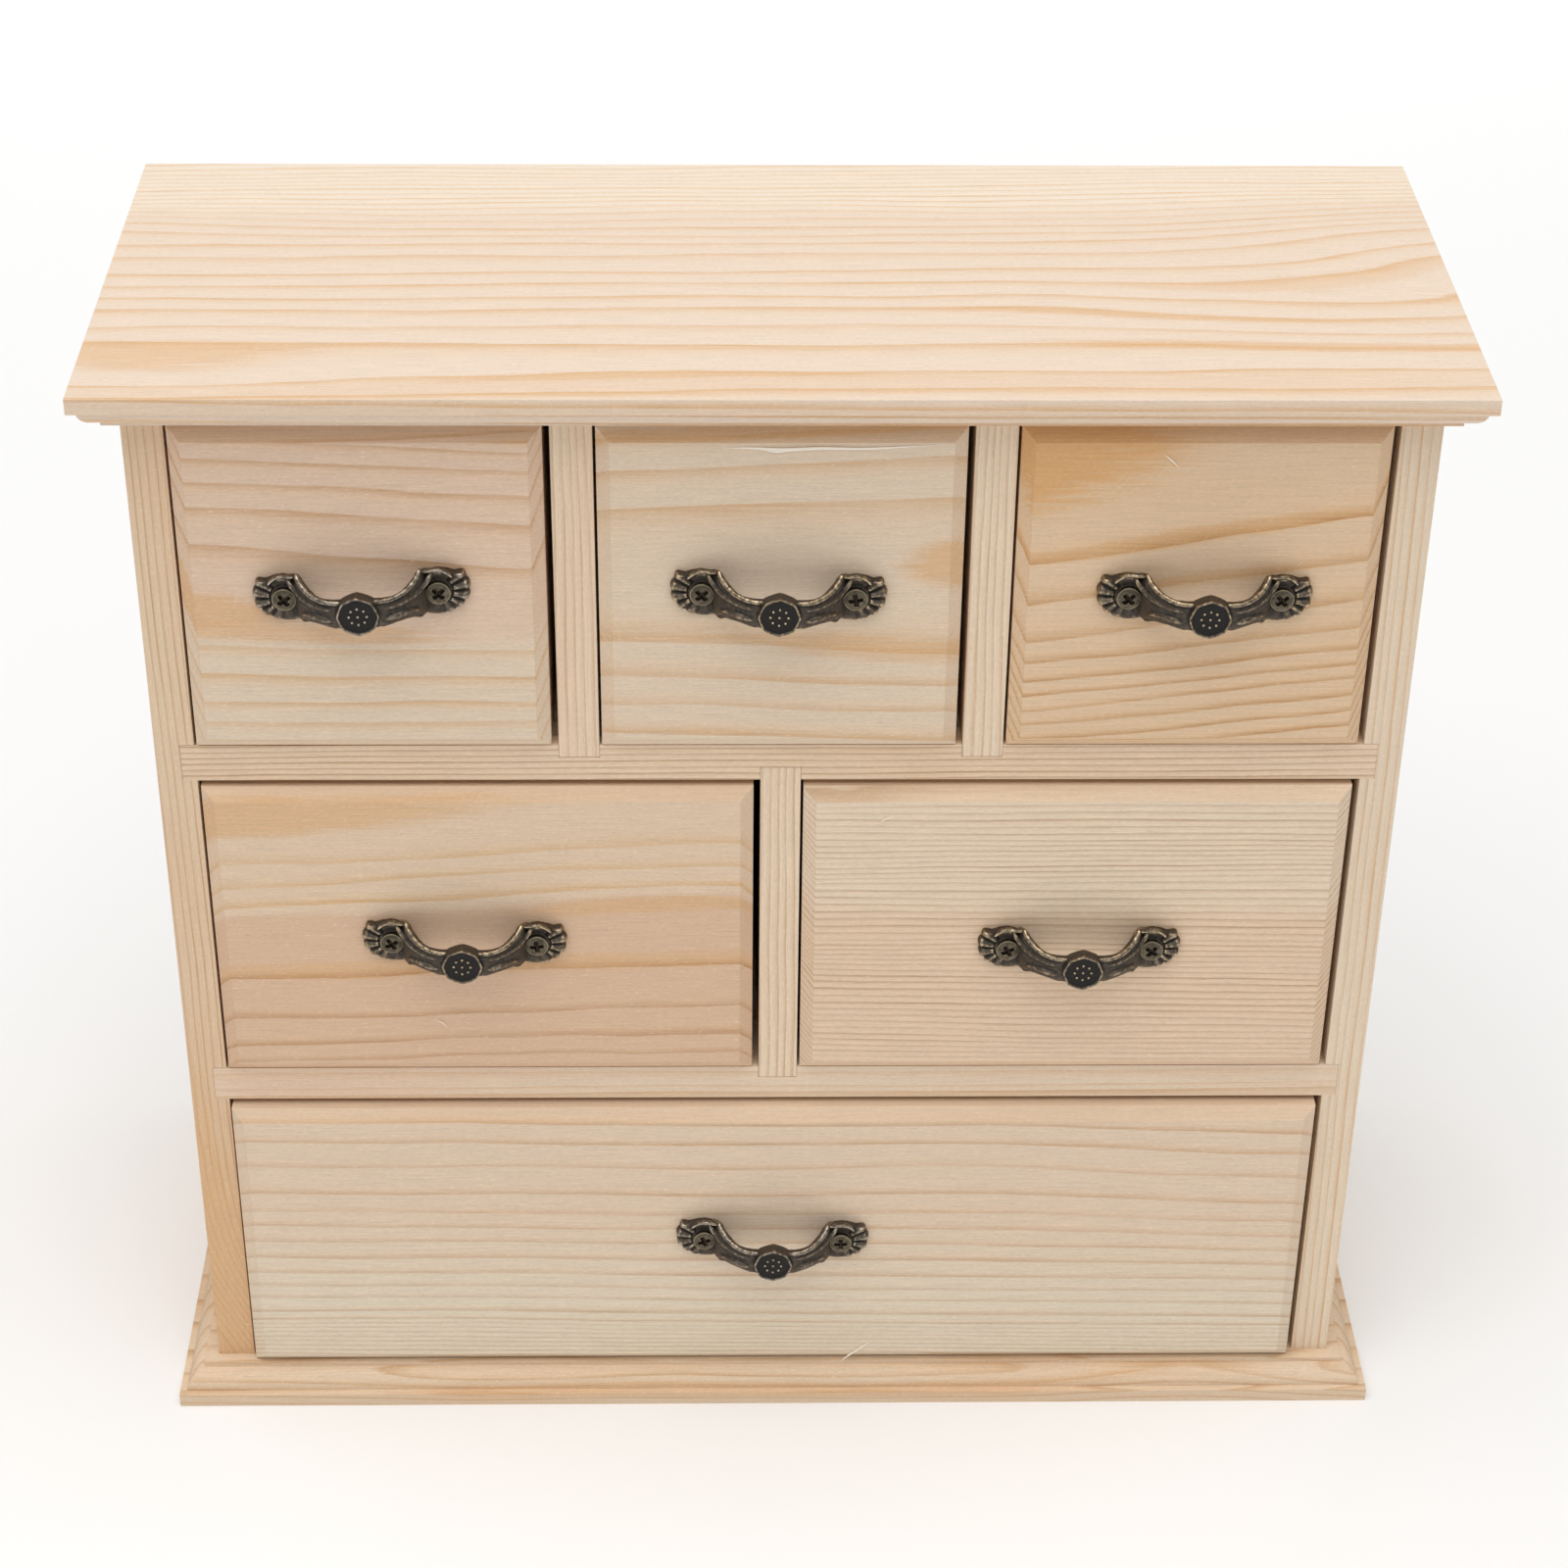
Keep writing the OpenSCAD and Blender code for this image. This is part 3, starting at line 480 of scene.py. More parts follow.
# Drawer boxes
# Thin pine sides and backs behind the fronts: the sides sit in rebates of the front, the back between them.
box_lines = (-6, 0, 7, 13, 21, 28, 37, 45, 52, 60, 67, 75)
for i, drawer in enumerate(front_figures):
    for k, piece in enumerate(("_left_side", "_right_side", "_back")):
        axes = "XZY" if piece == "_back" else "YZX"
        pine_board(drawer + piece, SHELF_EDGE_MM, "pine_" + drawer + piece, axes, box_lines, lean=2.0 - k,
                   slope=(0.02 * (k - 1), 0.02), wave=0.9, contrast=0.5, seed=20 + 3 * i + k)

# Plywood
# Thin plywood of three veneers: the back panel in its rebates, and the drawer bottoms in their grooves. Its
# faces show broad pale figure, and its edges show the darker middle veneer.
VENEER_PALE, VENEER_WARM, VENEER_FIBRE = (0.73, 0.59, 0.43), (0.665, 0.50, 0.335), (0.80, 0.68, 0.52)
PORE_BROWN = (0.42, 0.29, 0.18)
CORE_DARK, CORE_LIGHT = (0.36, 0.23, 0.13), (0.56, 0.39, 0.24)
VENEER_FIGURE_MM, VENEER_BANDS = (220, 20, 20), 16.0
RIPPLE_MM, RIPPLE_SHARE = (60, 2, 2), 0.5
VENEER_FIBRE_MM = (7, 0.3, 0.3)
PORE_MM = (4.0, 0.14, 0.14)
STIPPLE_MM = (0.4, 0.4, 0.4)
VENEER_EDGE_MM = 0.15


def plywood(name, node, axes):
    """Three veneers across the axis into the board: the outer two pale with long grain, the middle one
    darker and stippled, as end grain is."""
    low, high = (np.array(corner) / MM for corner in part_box(node))
    grain, across, into = (AXIS[a] for a in axes)
    material, tree, shader = new_material(name)
    place = object_place(tree)
    metric = shade(tree, "VectorMath", {0: place, 1: [1 / MM] * 3}, operation="MULTIPLY")
    parts = tree.nodes.new("ShaderNodeSeparateXYZ")
    tree.links.new(metric, parts.inputs[0])
    g, h, d = (parts.outputs[i] for i in (grain, across, into))
    board = shade(tree, "CombineXYZ", {0: g, 1: h, 2: d})
    depth = calc(tree, "ABSOLUTE", calc(tree, "SUBTRACT", d, (low[into] + high[into]) / 2))
    half_core = (high[into] - low[into]) / 6
    core = ease(tree, depth, half_core - 0.05, half_core + 0.05, 1.0, 0.0)
    figure = calc(tree, "MULTIPLY", noise(tree, board, VENEER_FIGURE_MM, 2.0), VENEER_BANDS)
    ripple = noise(tree, board, RIPPLE_MM, 2.0)
    bands = calc(tree, "FRACT", calc(tree, "MULTIPLY_ADD", ripple, RIPPLE_SHARE, figure))
    fibre = noise(tree, board, VENEER_FIBRE_MM, 3.0)
    pores = ease(tree, noise(tree, board, PORE_MM, 1.0), 0.66, 0.78)
    stipple = noise(tree, board, STIPPLE_MM, 2.0)
    season = calc(tree, "MULTIPLY", ease(tree, bands, 0.1, 0.85), ease(tree, bands, 0.88, 1.0, 1.0, 0.0))
    colour = mix_colour(tree, season, VENEER_PALE, VENEER_WARM)
    colour = mix_colour(tree, calc(tree, "MULTIPLY", fibre, 0.5), colour, VENEER_FIBRE)
    colour = mix_colour(tree, calc(tree, "MULTIPLY", pores, 0.5), colour, PORE_BROWN)
    dark_core = mix_colour(tree, stipple, CORE_DARK, CORE_LIGHT)
    colour = mix_colour(tree, core, colour, dark_core)
    relief = calc(tree, "SUBTRACT", calc(tree, "MULTIPLY", fibre, 0.6), pores)
    bump = raised(tree, relief, 0.35, 0.00015)
    rough = ease(tree, fibre, 0.2, 0.8, 0.55, 0.72)
    set_inputs(tree, shader, {"Base Color": colour, "Normal": bump, "Roughness": rough})
    shader.inputs["Specular IOR Level"].default_value = WOOD_GLOSS
    return material


ease_edges("back_panel", 0, plywood("plywood_back_panel", "back_panel", "ZXY"))
for drawer in front_figures:
    bottom_ply = plywood("plywood_" + drawer + "_bottom", drawer + "_bottom", "XYZ")
    ease_edges(drawer + "_bottom", VENEER_EDGE_MM, bottom_ply)

# Back panel nails and dowels
# Small drawn steel pins with flat heads hold the back panel. Fluted beech dowels, hidden in blind holes,
# join the side panels to the top and base boards.
NAIL_EDGE_MM = 0.08
steel, tree, shader = new_material("drawn_steel")
place = object_place(tree)
drawn = noise(tree, place, (0.12 * MM, 2.0 * MM, 0.12 * MM), 2.0)
rust = ease(tree, noise(tree, place, (0.8 * MM,) * 3, 3.0), 0.58, 0.75)
set_inputs(tree, shader, {
    "Base Color": mix_colour(tree, rust, (0.48, 0.47, 0.46), (0.22, 0.16, 0.12)), "Metallic": 1.0,
    "Roughness": ease(tree, drawn, 0.3, 0.7, 0.28, 0.45), "Normal": raised(tree, drawn, 0.3, 0.00003)})
ease_edges("back_panel_nails", NAIL_EDGE_MM, steel)

beech, tree, shader = new_material("beech_dowel")
place = object_place(tree)
fibre = noise(tree, place, (0.3 * MM, 0.3 * MM, 6.0 * MM), 3.0)
ray = noise(tree, place, (0.25 * MM, 0.25 * MM, 1.6 * MM), 1.0)
fleck = calc(tree, "MULTIPLY", ease(tree, ray, 0.62, 0.72), 0.6)
colour = mix_colour(tree, fibre, (0.60, 0.40, 0.25), (0.74, 0.55, 0.38))
colour = mix_colour(tree, fleck, colour, (0.38, 0.21, 0.11))
set_inputs(tree, shader, {
    "Base Color": colour, "Roughness": ease(tree, fibre, 0.2, 0.8, 0.5, 0.7),
    "Normal": raised(tree, fibre, 0.3, 0.0001)})
for dowels in ("top_dowels", "base_dowels"):
    ease_edges(dowels, SHELF_EDGE_MM, beech)

# Handles
# Antique bronze castings, one piece each: a ribbed shell with a hood under each screw, a bow of two arms
# with a bead along the top and ridges below it, and an octagonal boss with a beaded face. Two screws
# through the shells hold each on its drawer front.
SCREW_PITCH = 28.6
CASTING_VOXEL = 0.13
OUTWARD = np.array([0.0, 0.0, 1.0])


def smooth_path(points, count):
    """Rows along the Catmull-Rom curve through the given rows: each stretch is a cubic that joins two rows
    and leaves them along the line between their neighbours."""
    rows = np.array(points, float)
    rows = np.vstack([2 * rows[0] - rows[1], rows, 2 * rows[-1] - rows[-2]])
    at = np.linspace(0, len(points) - 1, count)
    i = np.minimum(at.astype(int), len(points) - 2)
    t = (at - i)[:, None]
    a, b, c, d = rows[i], rows[i + 1], rows[i + 2], rows[i + 3]
    return b + t / 2 * (c - a + t * (2 * a - 5 * b + 4 * c - d + t * (3 * (b - c) + d - a)))


def ring_faces(rows, columns):
    """Quads of a grid of points whose columns close into a ring."""
    i, j = np.meshgrid(np.arange(rows - 1), np.arange(columns), indexing="ij")
    a = i * columns + j
    b = i * columns + (j + 1) % columns
    return np.stack([a, b, b + columns, a + columns], -1).reshape(-1, 4)


def bead(points, steps=70, turns=28, end=0.1, squareness=1.0):
    """A bead along a path. Each row gives x, height, projection, half width and half depth. Across the path
    the section is an ellipse, or a squarer one where the sine and cosine are raised to a power below 1, and
    over the end share of the length it closes as a quarter circle does."""
    rows = smooth_path(points, steps)
    forward = np.gradient(rows[:, :3], axis=0)
    forward /= np.linalg.norm(forward, axis=1, keepdims=True)
    side = np.cross(OUTWARD, forward)
    side /= np.linalg.norm(side, axis=1, keepdims=True)
    top = np.cross(forward, side)
    s = np.linspace(0, 1, steps)
    closing = np.clip(np.minimum(s, 1 - s) / end, 0, 1)
    taper = np.sqrt(1 - (1 - closing) ** 2)
    angle = np.linspace(0, 2 * np.pi, turns, endpoint=False)
    round_x, round_y = (np.sign(v) * np.abs(v) ** squareness for v in (np.cos(angle), np.sin(angle)))
    across = (rows[:, 3] * taper)[:, None, None] * round_x[None, :, None] * side[:, None]
    out = (rows[:, 4] * taper)[:, None, None] * round_y[None, :, None] * top[:, None]
    return (rows[:, None, :3] + across + out).reshape(-1, 3), ring_faces(steps, turns)


def soft_step(x, low, high):
    """0 below low, 1 above high, and a cubic between."""
    t = np.clip((x - low) / (high - low), 0, 1)
    return t * t * (3 - 2 * t)


def shell(turns=240, steps=46):
    """A scallop round its screw, on polar rings. Ribs are the size of a cosine of the angle, so they are
    round on top with sharp valleys. They lift both the rim and the face, boldly at the end of the handle and
    less below the screw. The reach follows the angle. The face slopes from the screw seat to the rim, where
    it rounds off as a quarter circle, and it stands higher under the hood; the back is flat."""
    first_rib, rib_turn, rib_count = -67.0, 26.0, 5
    seat_r, seat_p, plate_p, valley = 2.5, 1.7, 1.2, 0.55
    rim_turns = (-180, -160, -140, -120, -100, -67, -41, -15, 11, 37, 54, 75, 100, 130, 180)
    rim_reach = (3.4, 4.6, 5.6, 5.8, 5.5, 5.25, 5.5, 5.85, 6.0, 6.2, 4.6, 4.35, 4.3, 4.2, 3.4)
    angle = np.linspace(-180, 180, turns, endpoint=False)
    ribbed = soft_step(angle, first_rib - rib_turn / 2 - 3, first_rib - rib_turn / 2 + 3)
    last = first_rib + (rib_count - 0.5) * rib_turn
    ribbed = ribbed * (1 - soft_step(angle, last - 3, last + 3))
    rib = np.abs(np.cos(np.pi * (angle - first_rib) / rib_turn)) ** 0.7 * ribbed
    a = np.radians(angle)
    boldness = 0.45 + 0.55 * soft_step(angle, -62, -25)
    rim = np.interp(angle, rim_turns, rim_reach) - valley * boldness * (1 - rib) * ribbed
    share = np.linspace(0, 1, steps)[:, None]
    r = share * rim[None]
    slope = np.clip((r - seat_r) / (rim - seat_r), 0, 1)
    hood = soft_step(angle, 42, 60) * (1 - soft_step(angle, 140, 170))
    rib_lift = (0.9 + 0.15 * slope) * boldness * rib * soft_step(r, seat_r - 0.2, seat_r + 0.5)
    face = plate_p + 0.35 * hood + (0.65 * hood - 0.2) * slope + rib_lift
    face = seat_p + (face - seat_p) * soft_step(r, seat_r - 0.1, seat_r + 0.15)
    rounding = np.clip((slope - 0.78) / 0.22, 0, 1)
    face = face * (0.3 + 0.7 * np.sqrt(1 - rounding ** 2))
    front = np.stack([r * np.cos(a), r * np.sin(a), face], -1)
    back = front[::-1] * (1, 1, 0)
    centre = np.array([SCREW_PITCH / 2, 0, 0])
    return (np.concatenate([front, back]) + centre).reshape(-1, 3), ring_faces(2 * steps, turns)


def boss(turns=96):
    """The octagonal boss: its profile of radius against projection, carried round. The reach is part way
    from that of an octagon to that of a circle, so the eight corners are blunt."""
    corner_r, circle_r, bluntness = 4.05, 0.965, 0.35
    profile = np.array([(0, 7.6), (corner_r, 7.6), (corner_r + 0.08, 8.2), (corner_r, 10.2),
                        (corner_r - 0.1, 10.38), (corner_r - 0.32, 10.36), (corner_r - 0.55, 10.0),
                        (0, 10.0)])
    degrees = np.arange(turns) * 360 / turns
    octagon = np.cos(np.pi / 8) / np.cos(np.radians(degrees % 45 - 22.5))
    reach = octagon + bluntness * (circle_r - octagon)
    a = np.radians(degrees)
    ring = np.stack([reach * np.cos(a), reach * np.sin(a), 0 * a], -1)
    points = profile[:, :1, None] * ring[None] + profile[:, 1:, None] * OUTWARD
    return points.reshape(-1, 3), ring_faces(len(profile), turns)


def boss_beads():
    """Eight small domes in a ring on the boss and one in the middle, each a short bead standing outwards."""
    ring_r, bead_r, face_p, count = 1.65, 0.29, 10.02, 8
    steps, turns = 10, 16
    spots = [math.radians(360 / count * i) for i in range(count)]
    places = [(0.0, 0.0)] + [(ring_r * math.cos(spot), ring_r * math.sin(spot)) for spot in spots]
    a = np.linspace(0, 2 * np.pi, turns, endpoint=False)
    lift = np.linspace(-np.pi / 2, np.pi / 2, steps)[:, None]
    ball = np.stack([np.cos(lift) * np.cos(a), np.cos(lift) * np.sin(a), np.sin(lift) + 0 * a], -1) * bead_r
    return [((ball + (x, z, face_p)).reshape(-1, 3), ring_faces(steps, turns)) for x, z in places]


arm_core = ((0, -0.1, 8.5, 3.0, 0.9), (3, -0.1, 8.45, 2.95, 0.9), (5, 0.0, 8.1, 2.7, 0.85),
            (6.8, 0.15, 7.4, 2.5, 0.8), (8.3, 0.25, 6.4, 2.65, 0.8), (9.4, 0.35, 5.3, 3.1, 0.8),
            (10.3, 0.4, 4.1, 3.7, 0.85), (11.0, 0.4, 2.9, 4.5, 0.9), (11.6, 0.4, 1.9, 4.6, 0.75),
            (12.2, 0.4, 1.2, 4.4, 0.6), (13.0, 0.4, 0.7, 4.0, 0.5))
top_bead = ((2.8, 2.45, 9.05, 0.42, 0.45), (4.2, 2.5, 9.0, 0.45, 0.48), (5.5, 2.55, 8.75, 0.48, 0.5),
            (6.8, 2.7, 8.2, 0.5, 0.5), (8.3, 3.05, 7.2, 0.5, 0.52), (9.6, 3.6, 5.9, 0.52, 0.55),
            (10.5, 4.35, 4.9, 0.52, 0.55), (11.1, 5.1, 4.0, 0.48, 0.55), (11.35, 5.75, 3.4, 0.35, 0.5))
hood_edge = ((17.1, 2.8, 1.8, 0.3, 0.45), (16.6, 3.6, 1.95, 0.36, 0.55), (15.8, 4.35, 2.1, 0.38, 0.6),
             (14.9, 4.8, 2.25, 0.38, 0.6), (13.9, 4.98, 2.4, 0.38, 0.6), (12.9, 5.02, 2.65, 0.38, 0.6),
             (12.1, 5.2, 2.95, 0.36, 0.6), (11.5, 5.5, 3.3, 0.32, 0.5), (11.2, 5.75, 3.5, 0.22, 0.4))
middle_ridge = ((13.4, 4.5, 2.2, 0.4, 0.5), (12.9, 3.6, 2.55, 0.55, 0.6), (12.3, 2.8, 2.95, 0.6, 0.62),
                (11.6, 2.2, 3.5, 0.62, 0.62), (10.7, 1.7, 4.6, 0.65, 0.6), (9.5, 1.4, 5.9, 0.65, 0.56),
                (8.2, 1.2, 7.05, 0.65, 0.54), (6.8, 1.05, 7.95, 0.62, 0.52), (5.4, 1.0, 8.6, 0.55, 0.46),
                (4.2, 1.0, 8.9, 0.4, 0.35))
lower_rib = ((10.9, -2.2, 4.3, 0.45, 0.5), (9.6, -1.25, 5.95, 0.62, 0.6), (7.8, -1.0, 7.65, 0.68, 0.6),
             (6.3, -1.1, 8.5, 0.65, 0.55), (4.6, -1.35, 8.95, 0.5, 0.42))
lower_edge = ((10.9, -4.2, 2.9, 0.35, 0.5), (10.4, -3.8, 3.6, 0.42, 0.55), (9.6, -3.0, 4.75, 0.42, 0.5),
              (8.3, -2.5, 6.3, 0.4, 0.5), (6.8, -2.4, 7.4, 0.4, 0.5), (5.0, -2.7, 8.1, 0.38, 0.5),
              (3.8, -2.9, 8.5, 0.35, 0.4))
curl = ((10.2, -3.5, 4.0, 0.3, 0.4), (10.5, -3.95, 3.5, 0.36, 0.45), (10.9, -4.1, 3.0, 0.36, 0.45),
        (11.25, -3.9, 2.6, 0.28, 0.4))


def rows_of(data, name, width, kind=float):
    """One value of every element of a mesh, as rows of this width."""
    values = np.empty(width * len(data), kind)
    data.foreach_get(name, values)
    return values.reshape(-1, width)


def casting():
    """The whole handle in its own millimetres: all its forms, right half and mirrored left half, fused into
    one skin by a voxel remesh, then lightly smoothed. Gives points, quads and how rubbed each point is: how
    far it stands proud of its neighbourhood, more on the boss's beads and less on its face and rim."""
    smoothing, wide_steps, soft_steps = (0.5, -0.52) * 2, 12, 2
    beads_p, rim_p, face_p, beads_r, face_r = (10.12, 10.22), 10.15, 9.9, 2.4, 3.3
    beads_rubbed, face_rubbed, rim_held = 0.12, -0.09, 0.93
    half = [bead(arm_core, end=0.03, turns=56, squareness=0.55), bead(top_bead, end=0.06), bead(hood_edge),
            bead(middle_ridge, steps=100, end=0.2), bead(lower_rib, end=0.25), bead(lower_edge),
            bead(curl, end=0.3), shell()]
    forms = half + [(points * (-1, 1, 1), faces) for points, faces in half] + [boss()] + boss_beads()
    starts = np.cumsum([0] + [len(points) for points, faces in forms])
    rough_mesh = bpy.data.meshes.new("rough_casting")
    rough_mesh.from_pydata(np.concatenate([points for points, faces in forms]), [],
                           np.concatenate([faces + k for (points, faces), k in zip(forms, starts)]))
    rough = bpy.data.objects.new("rough_casting", rough_mesh)
    bpy.context.scene.collection.objects.link(rough)
    fuse = rough.modifiers.new("fuse", "REMESH")
    fuse.mode = "VOXEL"
    fuse.voxel_size = CASTING_VOXEL
    fused = rough.evaluated_get(bpy.context.evaluated_depsgraph_get()).to_mesh()
    points = rows_of(fused.vertices, "co", 3)
    quads = rows_of(fused.loops, "vertex_index", 1, int).reshape(-1, 4)
    edges = rows_of(fused.edges, "vertices", 2, int)
    bpy.data.objects.remove(rough)

    ends = np.concatenate([edges[:, 0], edges[:, 1]])
    others = np.concatenate([edges[:, 1], edges[:, 0]])
    degree = np.bincount(ends, minlength=len(points))[:, None]

    def neighbours(values):
        sums = [np.bincount(ends, values[others, k], minlength=len(points)) for k in range(values.shape[1])]
        return np.stack(sums, -1) / degree

    for pull in smoothing:
        points = points + pull * (neighbours(points) - points)
    corners = points[quads]
    flat = np.cross(corners[:, 2] - corners[:, 0], corners[:, 3] - corners[:, 1])
    normal = np.stack([np.bincount(quads.ravel(), np.repeat(flat[:, k], 4), minlength=len(points))
                       for k in range(3)], -1)
    normal /= np.linalg.norm(normal, axis=1, keepdims=True)
    relaxed = points
    for _ in range(wide_steps):
        relaxed = neighbours(relaxed)
    rubbed = ((points - relaxed) * normal).sum(1, keepdims=True)
    for _ in range(soft_steps):
        rubbed = neighbours(rubbed)
    x, z, p = points.T
    from_axis = np.hypot(x, z)
    on_beads = soft_step(p, *beads_p) * (from_axis < beads_r)
    on_rim = (p > rim_p) * (from_axis > beads_r)
    on_face = (p > face_p) * (from_axis < face_r) * (1 - on_beads)
    rubbed = np.minimum(rubbed[:, 0], 1 - rim_held * on_rim)
    return points, quads, rubbed + beads_rubbed * on_beads + face_rubbed * on_face


def screw_places(drawer):
    """The two screw axes of a drawer's handle on its front, left and right, from the CAD screws."""
    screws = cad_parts[drawer + "_handle_screws"].data
    points = rows_of(screws.vertices, "co", 3, np.float32)
    middle = (points[:, 0].min() + points[:, 0].max()) / 2
    pair = (points[points[:, 0] < middle], points[points[:, 0] > middle])
    return [(side.min(0) + side.max(0)) / 2 for side in pair]


def on_front(drawer, points):
    """Handle millimetres (x, height, projection) moved to the drawer: turned to lie along its two screws,
    centred between them, and set out from the face of the front."""
    left, right = screw_places(drawer)
    middle = (left + right) / 2
    tilt = math.atan2(right[2] - left[2], right[0] - left[0])
    face_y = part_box(drawer + "_front")[0].y
    x, z, p = (points * MM).T
    return np.stack([middle[0] + x * math.cos(tilt) - z * math.sin(tilt), face_y - p,
                     middle[2] + x * math.sin(tilt) + z * math.cos(tilt)], -1)


def new_piece(name, points, faces, material, rubbed):
    """A mesh object at the origin with its place in its points, and how rubbed each of them is. Points that
    lie together, as at a pole, become one."""
    mesh = bpy.data.meshes.new(name)
    mesh.from_pydata(points, [], faces)
    mesh.attributes.new("rubbed", "FLOAT", "POINT").data.foreach_set("value", rubbed)
    merged = bmesh.new()
    merged.from_mesh(mesh)
    bmesh.ops.remove_doubles(merged, verts=merged.verts, dist=1e-7)
    merged.to_mesh(mesh)
    merged.free()
    mesh.polygons.foreach_set("use_smooth", np.full(len(mesh.polygons), True))
    mesh.materials.append(material)
    mesh.update()
    piece = bpy.data.objects.new(name, mesh)
    bpy.context.scene.collection.objects.link(piece)
    return piece


def antique_bronze(name, rub):
    """Dark bronze: nearly black in the hollows, brown on the flats, rubbed to bare metal on what stands
    proud, by the rubbed attribute and blotchy noise."""
    hollow, flat = (0.012, 0.010, 0.008), (0.115, 0.093, 0.072)
    blotch_share, blotch_level = 0.17, -0.088
    material, tree, shader = new_material(name)
    worn = tree.nodes.new("ShaderNodeAttribute")
    worn.attribute_name = "rubbed"
    place = object_place(tree)
    blotch = noise(tree, place, (0.7 * MM,) * 3, 5.0)
    pits = noise(tree, place, (0.25 * MM,) * 3, 2.0)
    wear = calc(tree, "MULTIPLY_ADD", blotch, blotch_share,
                calc(tree, "ADD", worn.outputs["Fac"], blotch_level))
    bare = ease(tree, wear, 0.03, 0.12)
    brown = ease(tree, wear, -0.085, 0.045)
    colour = mix_colour(tree, brown, hollow, flat)
    colour = mix_colour(tree, bare, colour, rub)
    rough = ease(tree, wear, -0.05, 0.10, 0.62, 0.30)
    bump = raised(tree, pits, 0.6, 0.00012)
    set_inputs(tree, shader, {"Base Color": colour, "Roughness": rough, "Normal": bump,
                              "Metallic": ease(tree, wear, -0.06, 0.04, 0.35, 1.0)})
    return material


cast_points, cast_quads, cast_rubbed = casting()
brassy = antique_bronze("antique_bronze", (0.58, 0.46, 0.30))
# The second copy, on the top left and bottom drawers, has a greyer rub colour: painted light, the greyer
# cast that the light gives those two handles
bronze_in_grey_light = antique_bronze("antique_bronze_painted_grey_light", (0.52, 0.45, 0.36))
for drawer in front_figures:
    bronze = bronze_in_grey_light if drawer in ("top_left_drawer", "bottom_drawer") else brassy
    placed = on_front(drawer, cast_points)
    handle = new_piece(drawer + "_bow_handle", placed, cast_quads, bronze, cast_rubbed)
    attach(handle, drawer)
    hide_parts(drawer + "_handle")

# Handle screws
# Small wood screws with domed heads and a crossed recess, in dull brass, one through each shell.


def screw_head(centre_x, spin):
    """A screw on polar rings: the dome is a shallow cap, the crossed recess is the lower of two soft slots
    that narrow towards their ends, and the side, seat and threaded shank follow as one profile."""
    head_r, head_p, edge_p, seat_p = 2.25, 3.05, 2.65, 1.72
    slot_half, slot_reach, slot_depth, slot_fall = 0.36, 1.45, 1.1, 0.55
    shank_length, thread_pitch, thread_height, core_r, hole_r = 9.0, 0.9, 0.26, 0.82, 1.1
    steps, turns, shank_steps = 64, 128, 90
    a = np.linspace(0, 2 * np.pi, turns, endpoint=False)[None]
    r = np.linspace(0, 1, steps)[:, None] ** 0.85 * head_r
    x, z = r * np.cos(a), r * np.sin(a)
    dome = head_p - (head_p - edge_p) * (r / head_r) ** 2.4 + 0 * a
    slots = [(1 - soft_step(np.abs(u), slot_reach - 0.35, slot_reach))
             * (1 - soft_step(np.abs(v), slot_half - 0.1, slot_half + 0.1)) for u, v in ((x, z), (z, x))]
    recess = np.maximum(*slots)
    front = np.stack([x, z, dome - slot_depth * recess * (1 - slot_fall * r / slot_reach)], -1)
    profile = np.array([(head_r, edge_p - 0.25), (head_r - 0.05, seat_p + 0.1), (head_r - 0.2, seat_p),
                        (hole_r, seat_p)])
    rest = profile[:, :1, None] * np.stack([np.cos(a[0]), np.sin(a[0]), 0 * a[0]], -1)
    rest = rest + profile[:, 1:, None] * OUTWARD
    depth = np.linspace(seat_p - 0.05, seat_p - shank_length, shank_steps)[:, None]
    thread = 0.5 - 0.5 * np.cos(2 * np.pi * (depth / thread_pitch) - a)
    to_tip = depth - seat_p + shank_length
    core = core_r * np.clip((to_tip + 0.05) / 1.5, 0.05, 1)
    shank_r = core + thread_height * thread ** 2 * np.clip(to_tip / 1.2, 0, 1)
    shank = np.stack([shank_r * np.cos(a), shank_r * np.sin(a), depth + 0 * a], -1)
    tip = np.zeros((1, turns, 3)) + (0, 0, seat_p - shank_length)
    points = np.concatenate([front, rest, shank, tip])
    turn = np.array([[math.cos(spin), math.sin(spin), 0], [-math.sin(spin), math.cos(spin), 0], [0, 0, 1]])
    worn = np.zeros(points.shape[:2])
    worn[:steps] = np.where(r > 0.93 * head_r, 0.1, 0.0) - 0.2 * recess
    faces = ring_faces(len(points), turns)[:, ::-1]
    return points.reshape(-1, 3) @ turn + (centre_x, 0, 0), faces, worn.ravel()


dull_brass, tree, shader = new_material("dull_brass")
wear = tree.nodes.new("ShaderNodeAttribute")
wear.attribute_name = "rubbed"
tarnish = noise(tree, object_place(tree), (0.9 * MM,) * 3, 3.0)
colour = mix_colour(tree, ease(tree, tarnish, 0.3, 0.7), (0.082, 0.067, 0.047), (0.158, 0.130, 0.09))
on_edge = ease(tree, wear.outputs["Fac"], 0.0, 0.1, 0.0, 0.6)
colour = mix_colour(tree, on_edge, colour, (0.42, 0.35, 0.23))
in_recess = ease(tree, wear.outputs["Fac"], -0.12, 0.0, 1.0, 0.0)
colour = mix_colour(tree, in_recess, colour, (0.05, 0.037, 0.026))
set_inputs(tree, shader, {
    "Base Color": colour, "Metallic": 0.85, "Roughness": ease(tree, tarnish, 0.3, 0.7, 0.5, 0.36),
    "Normal": raised(tree, tarnish, 0.15, 0.0001)})
spins = (0.6, 0.75, 0.78, 0.2, 0.75, 0.7, 0.55, 0.15, 0.5, 0.9, 0.4, 0.05)
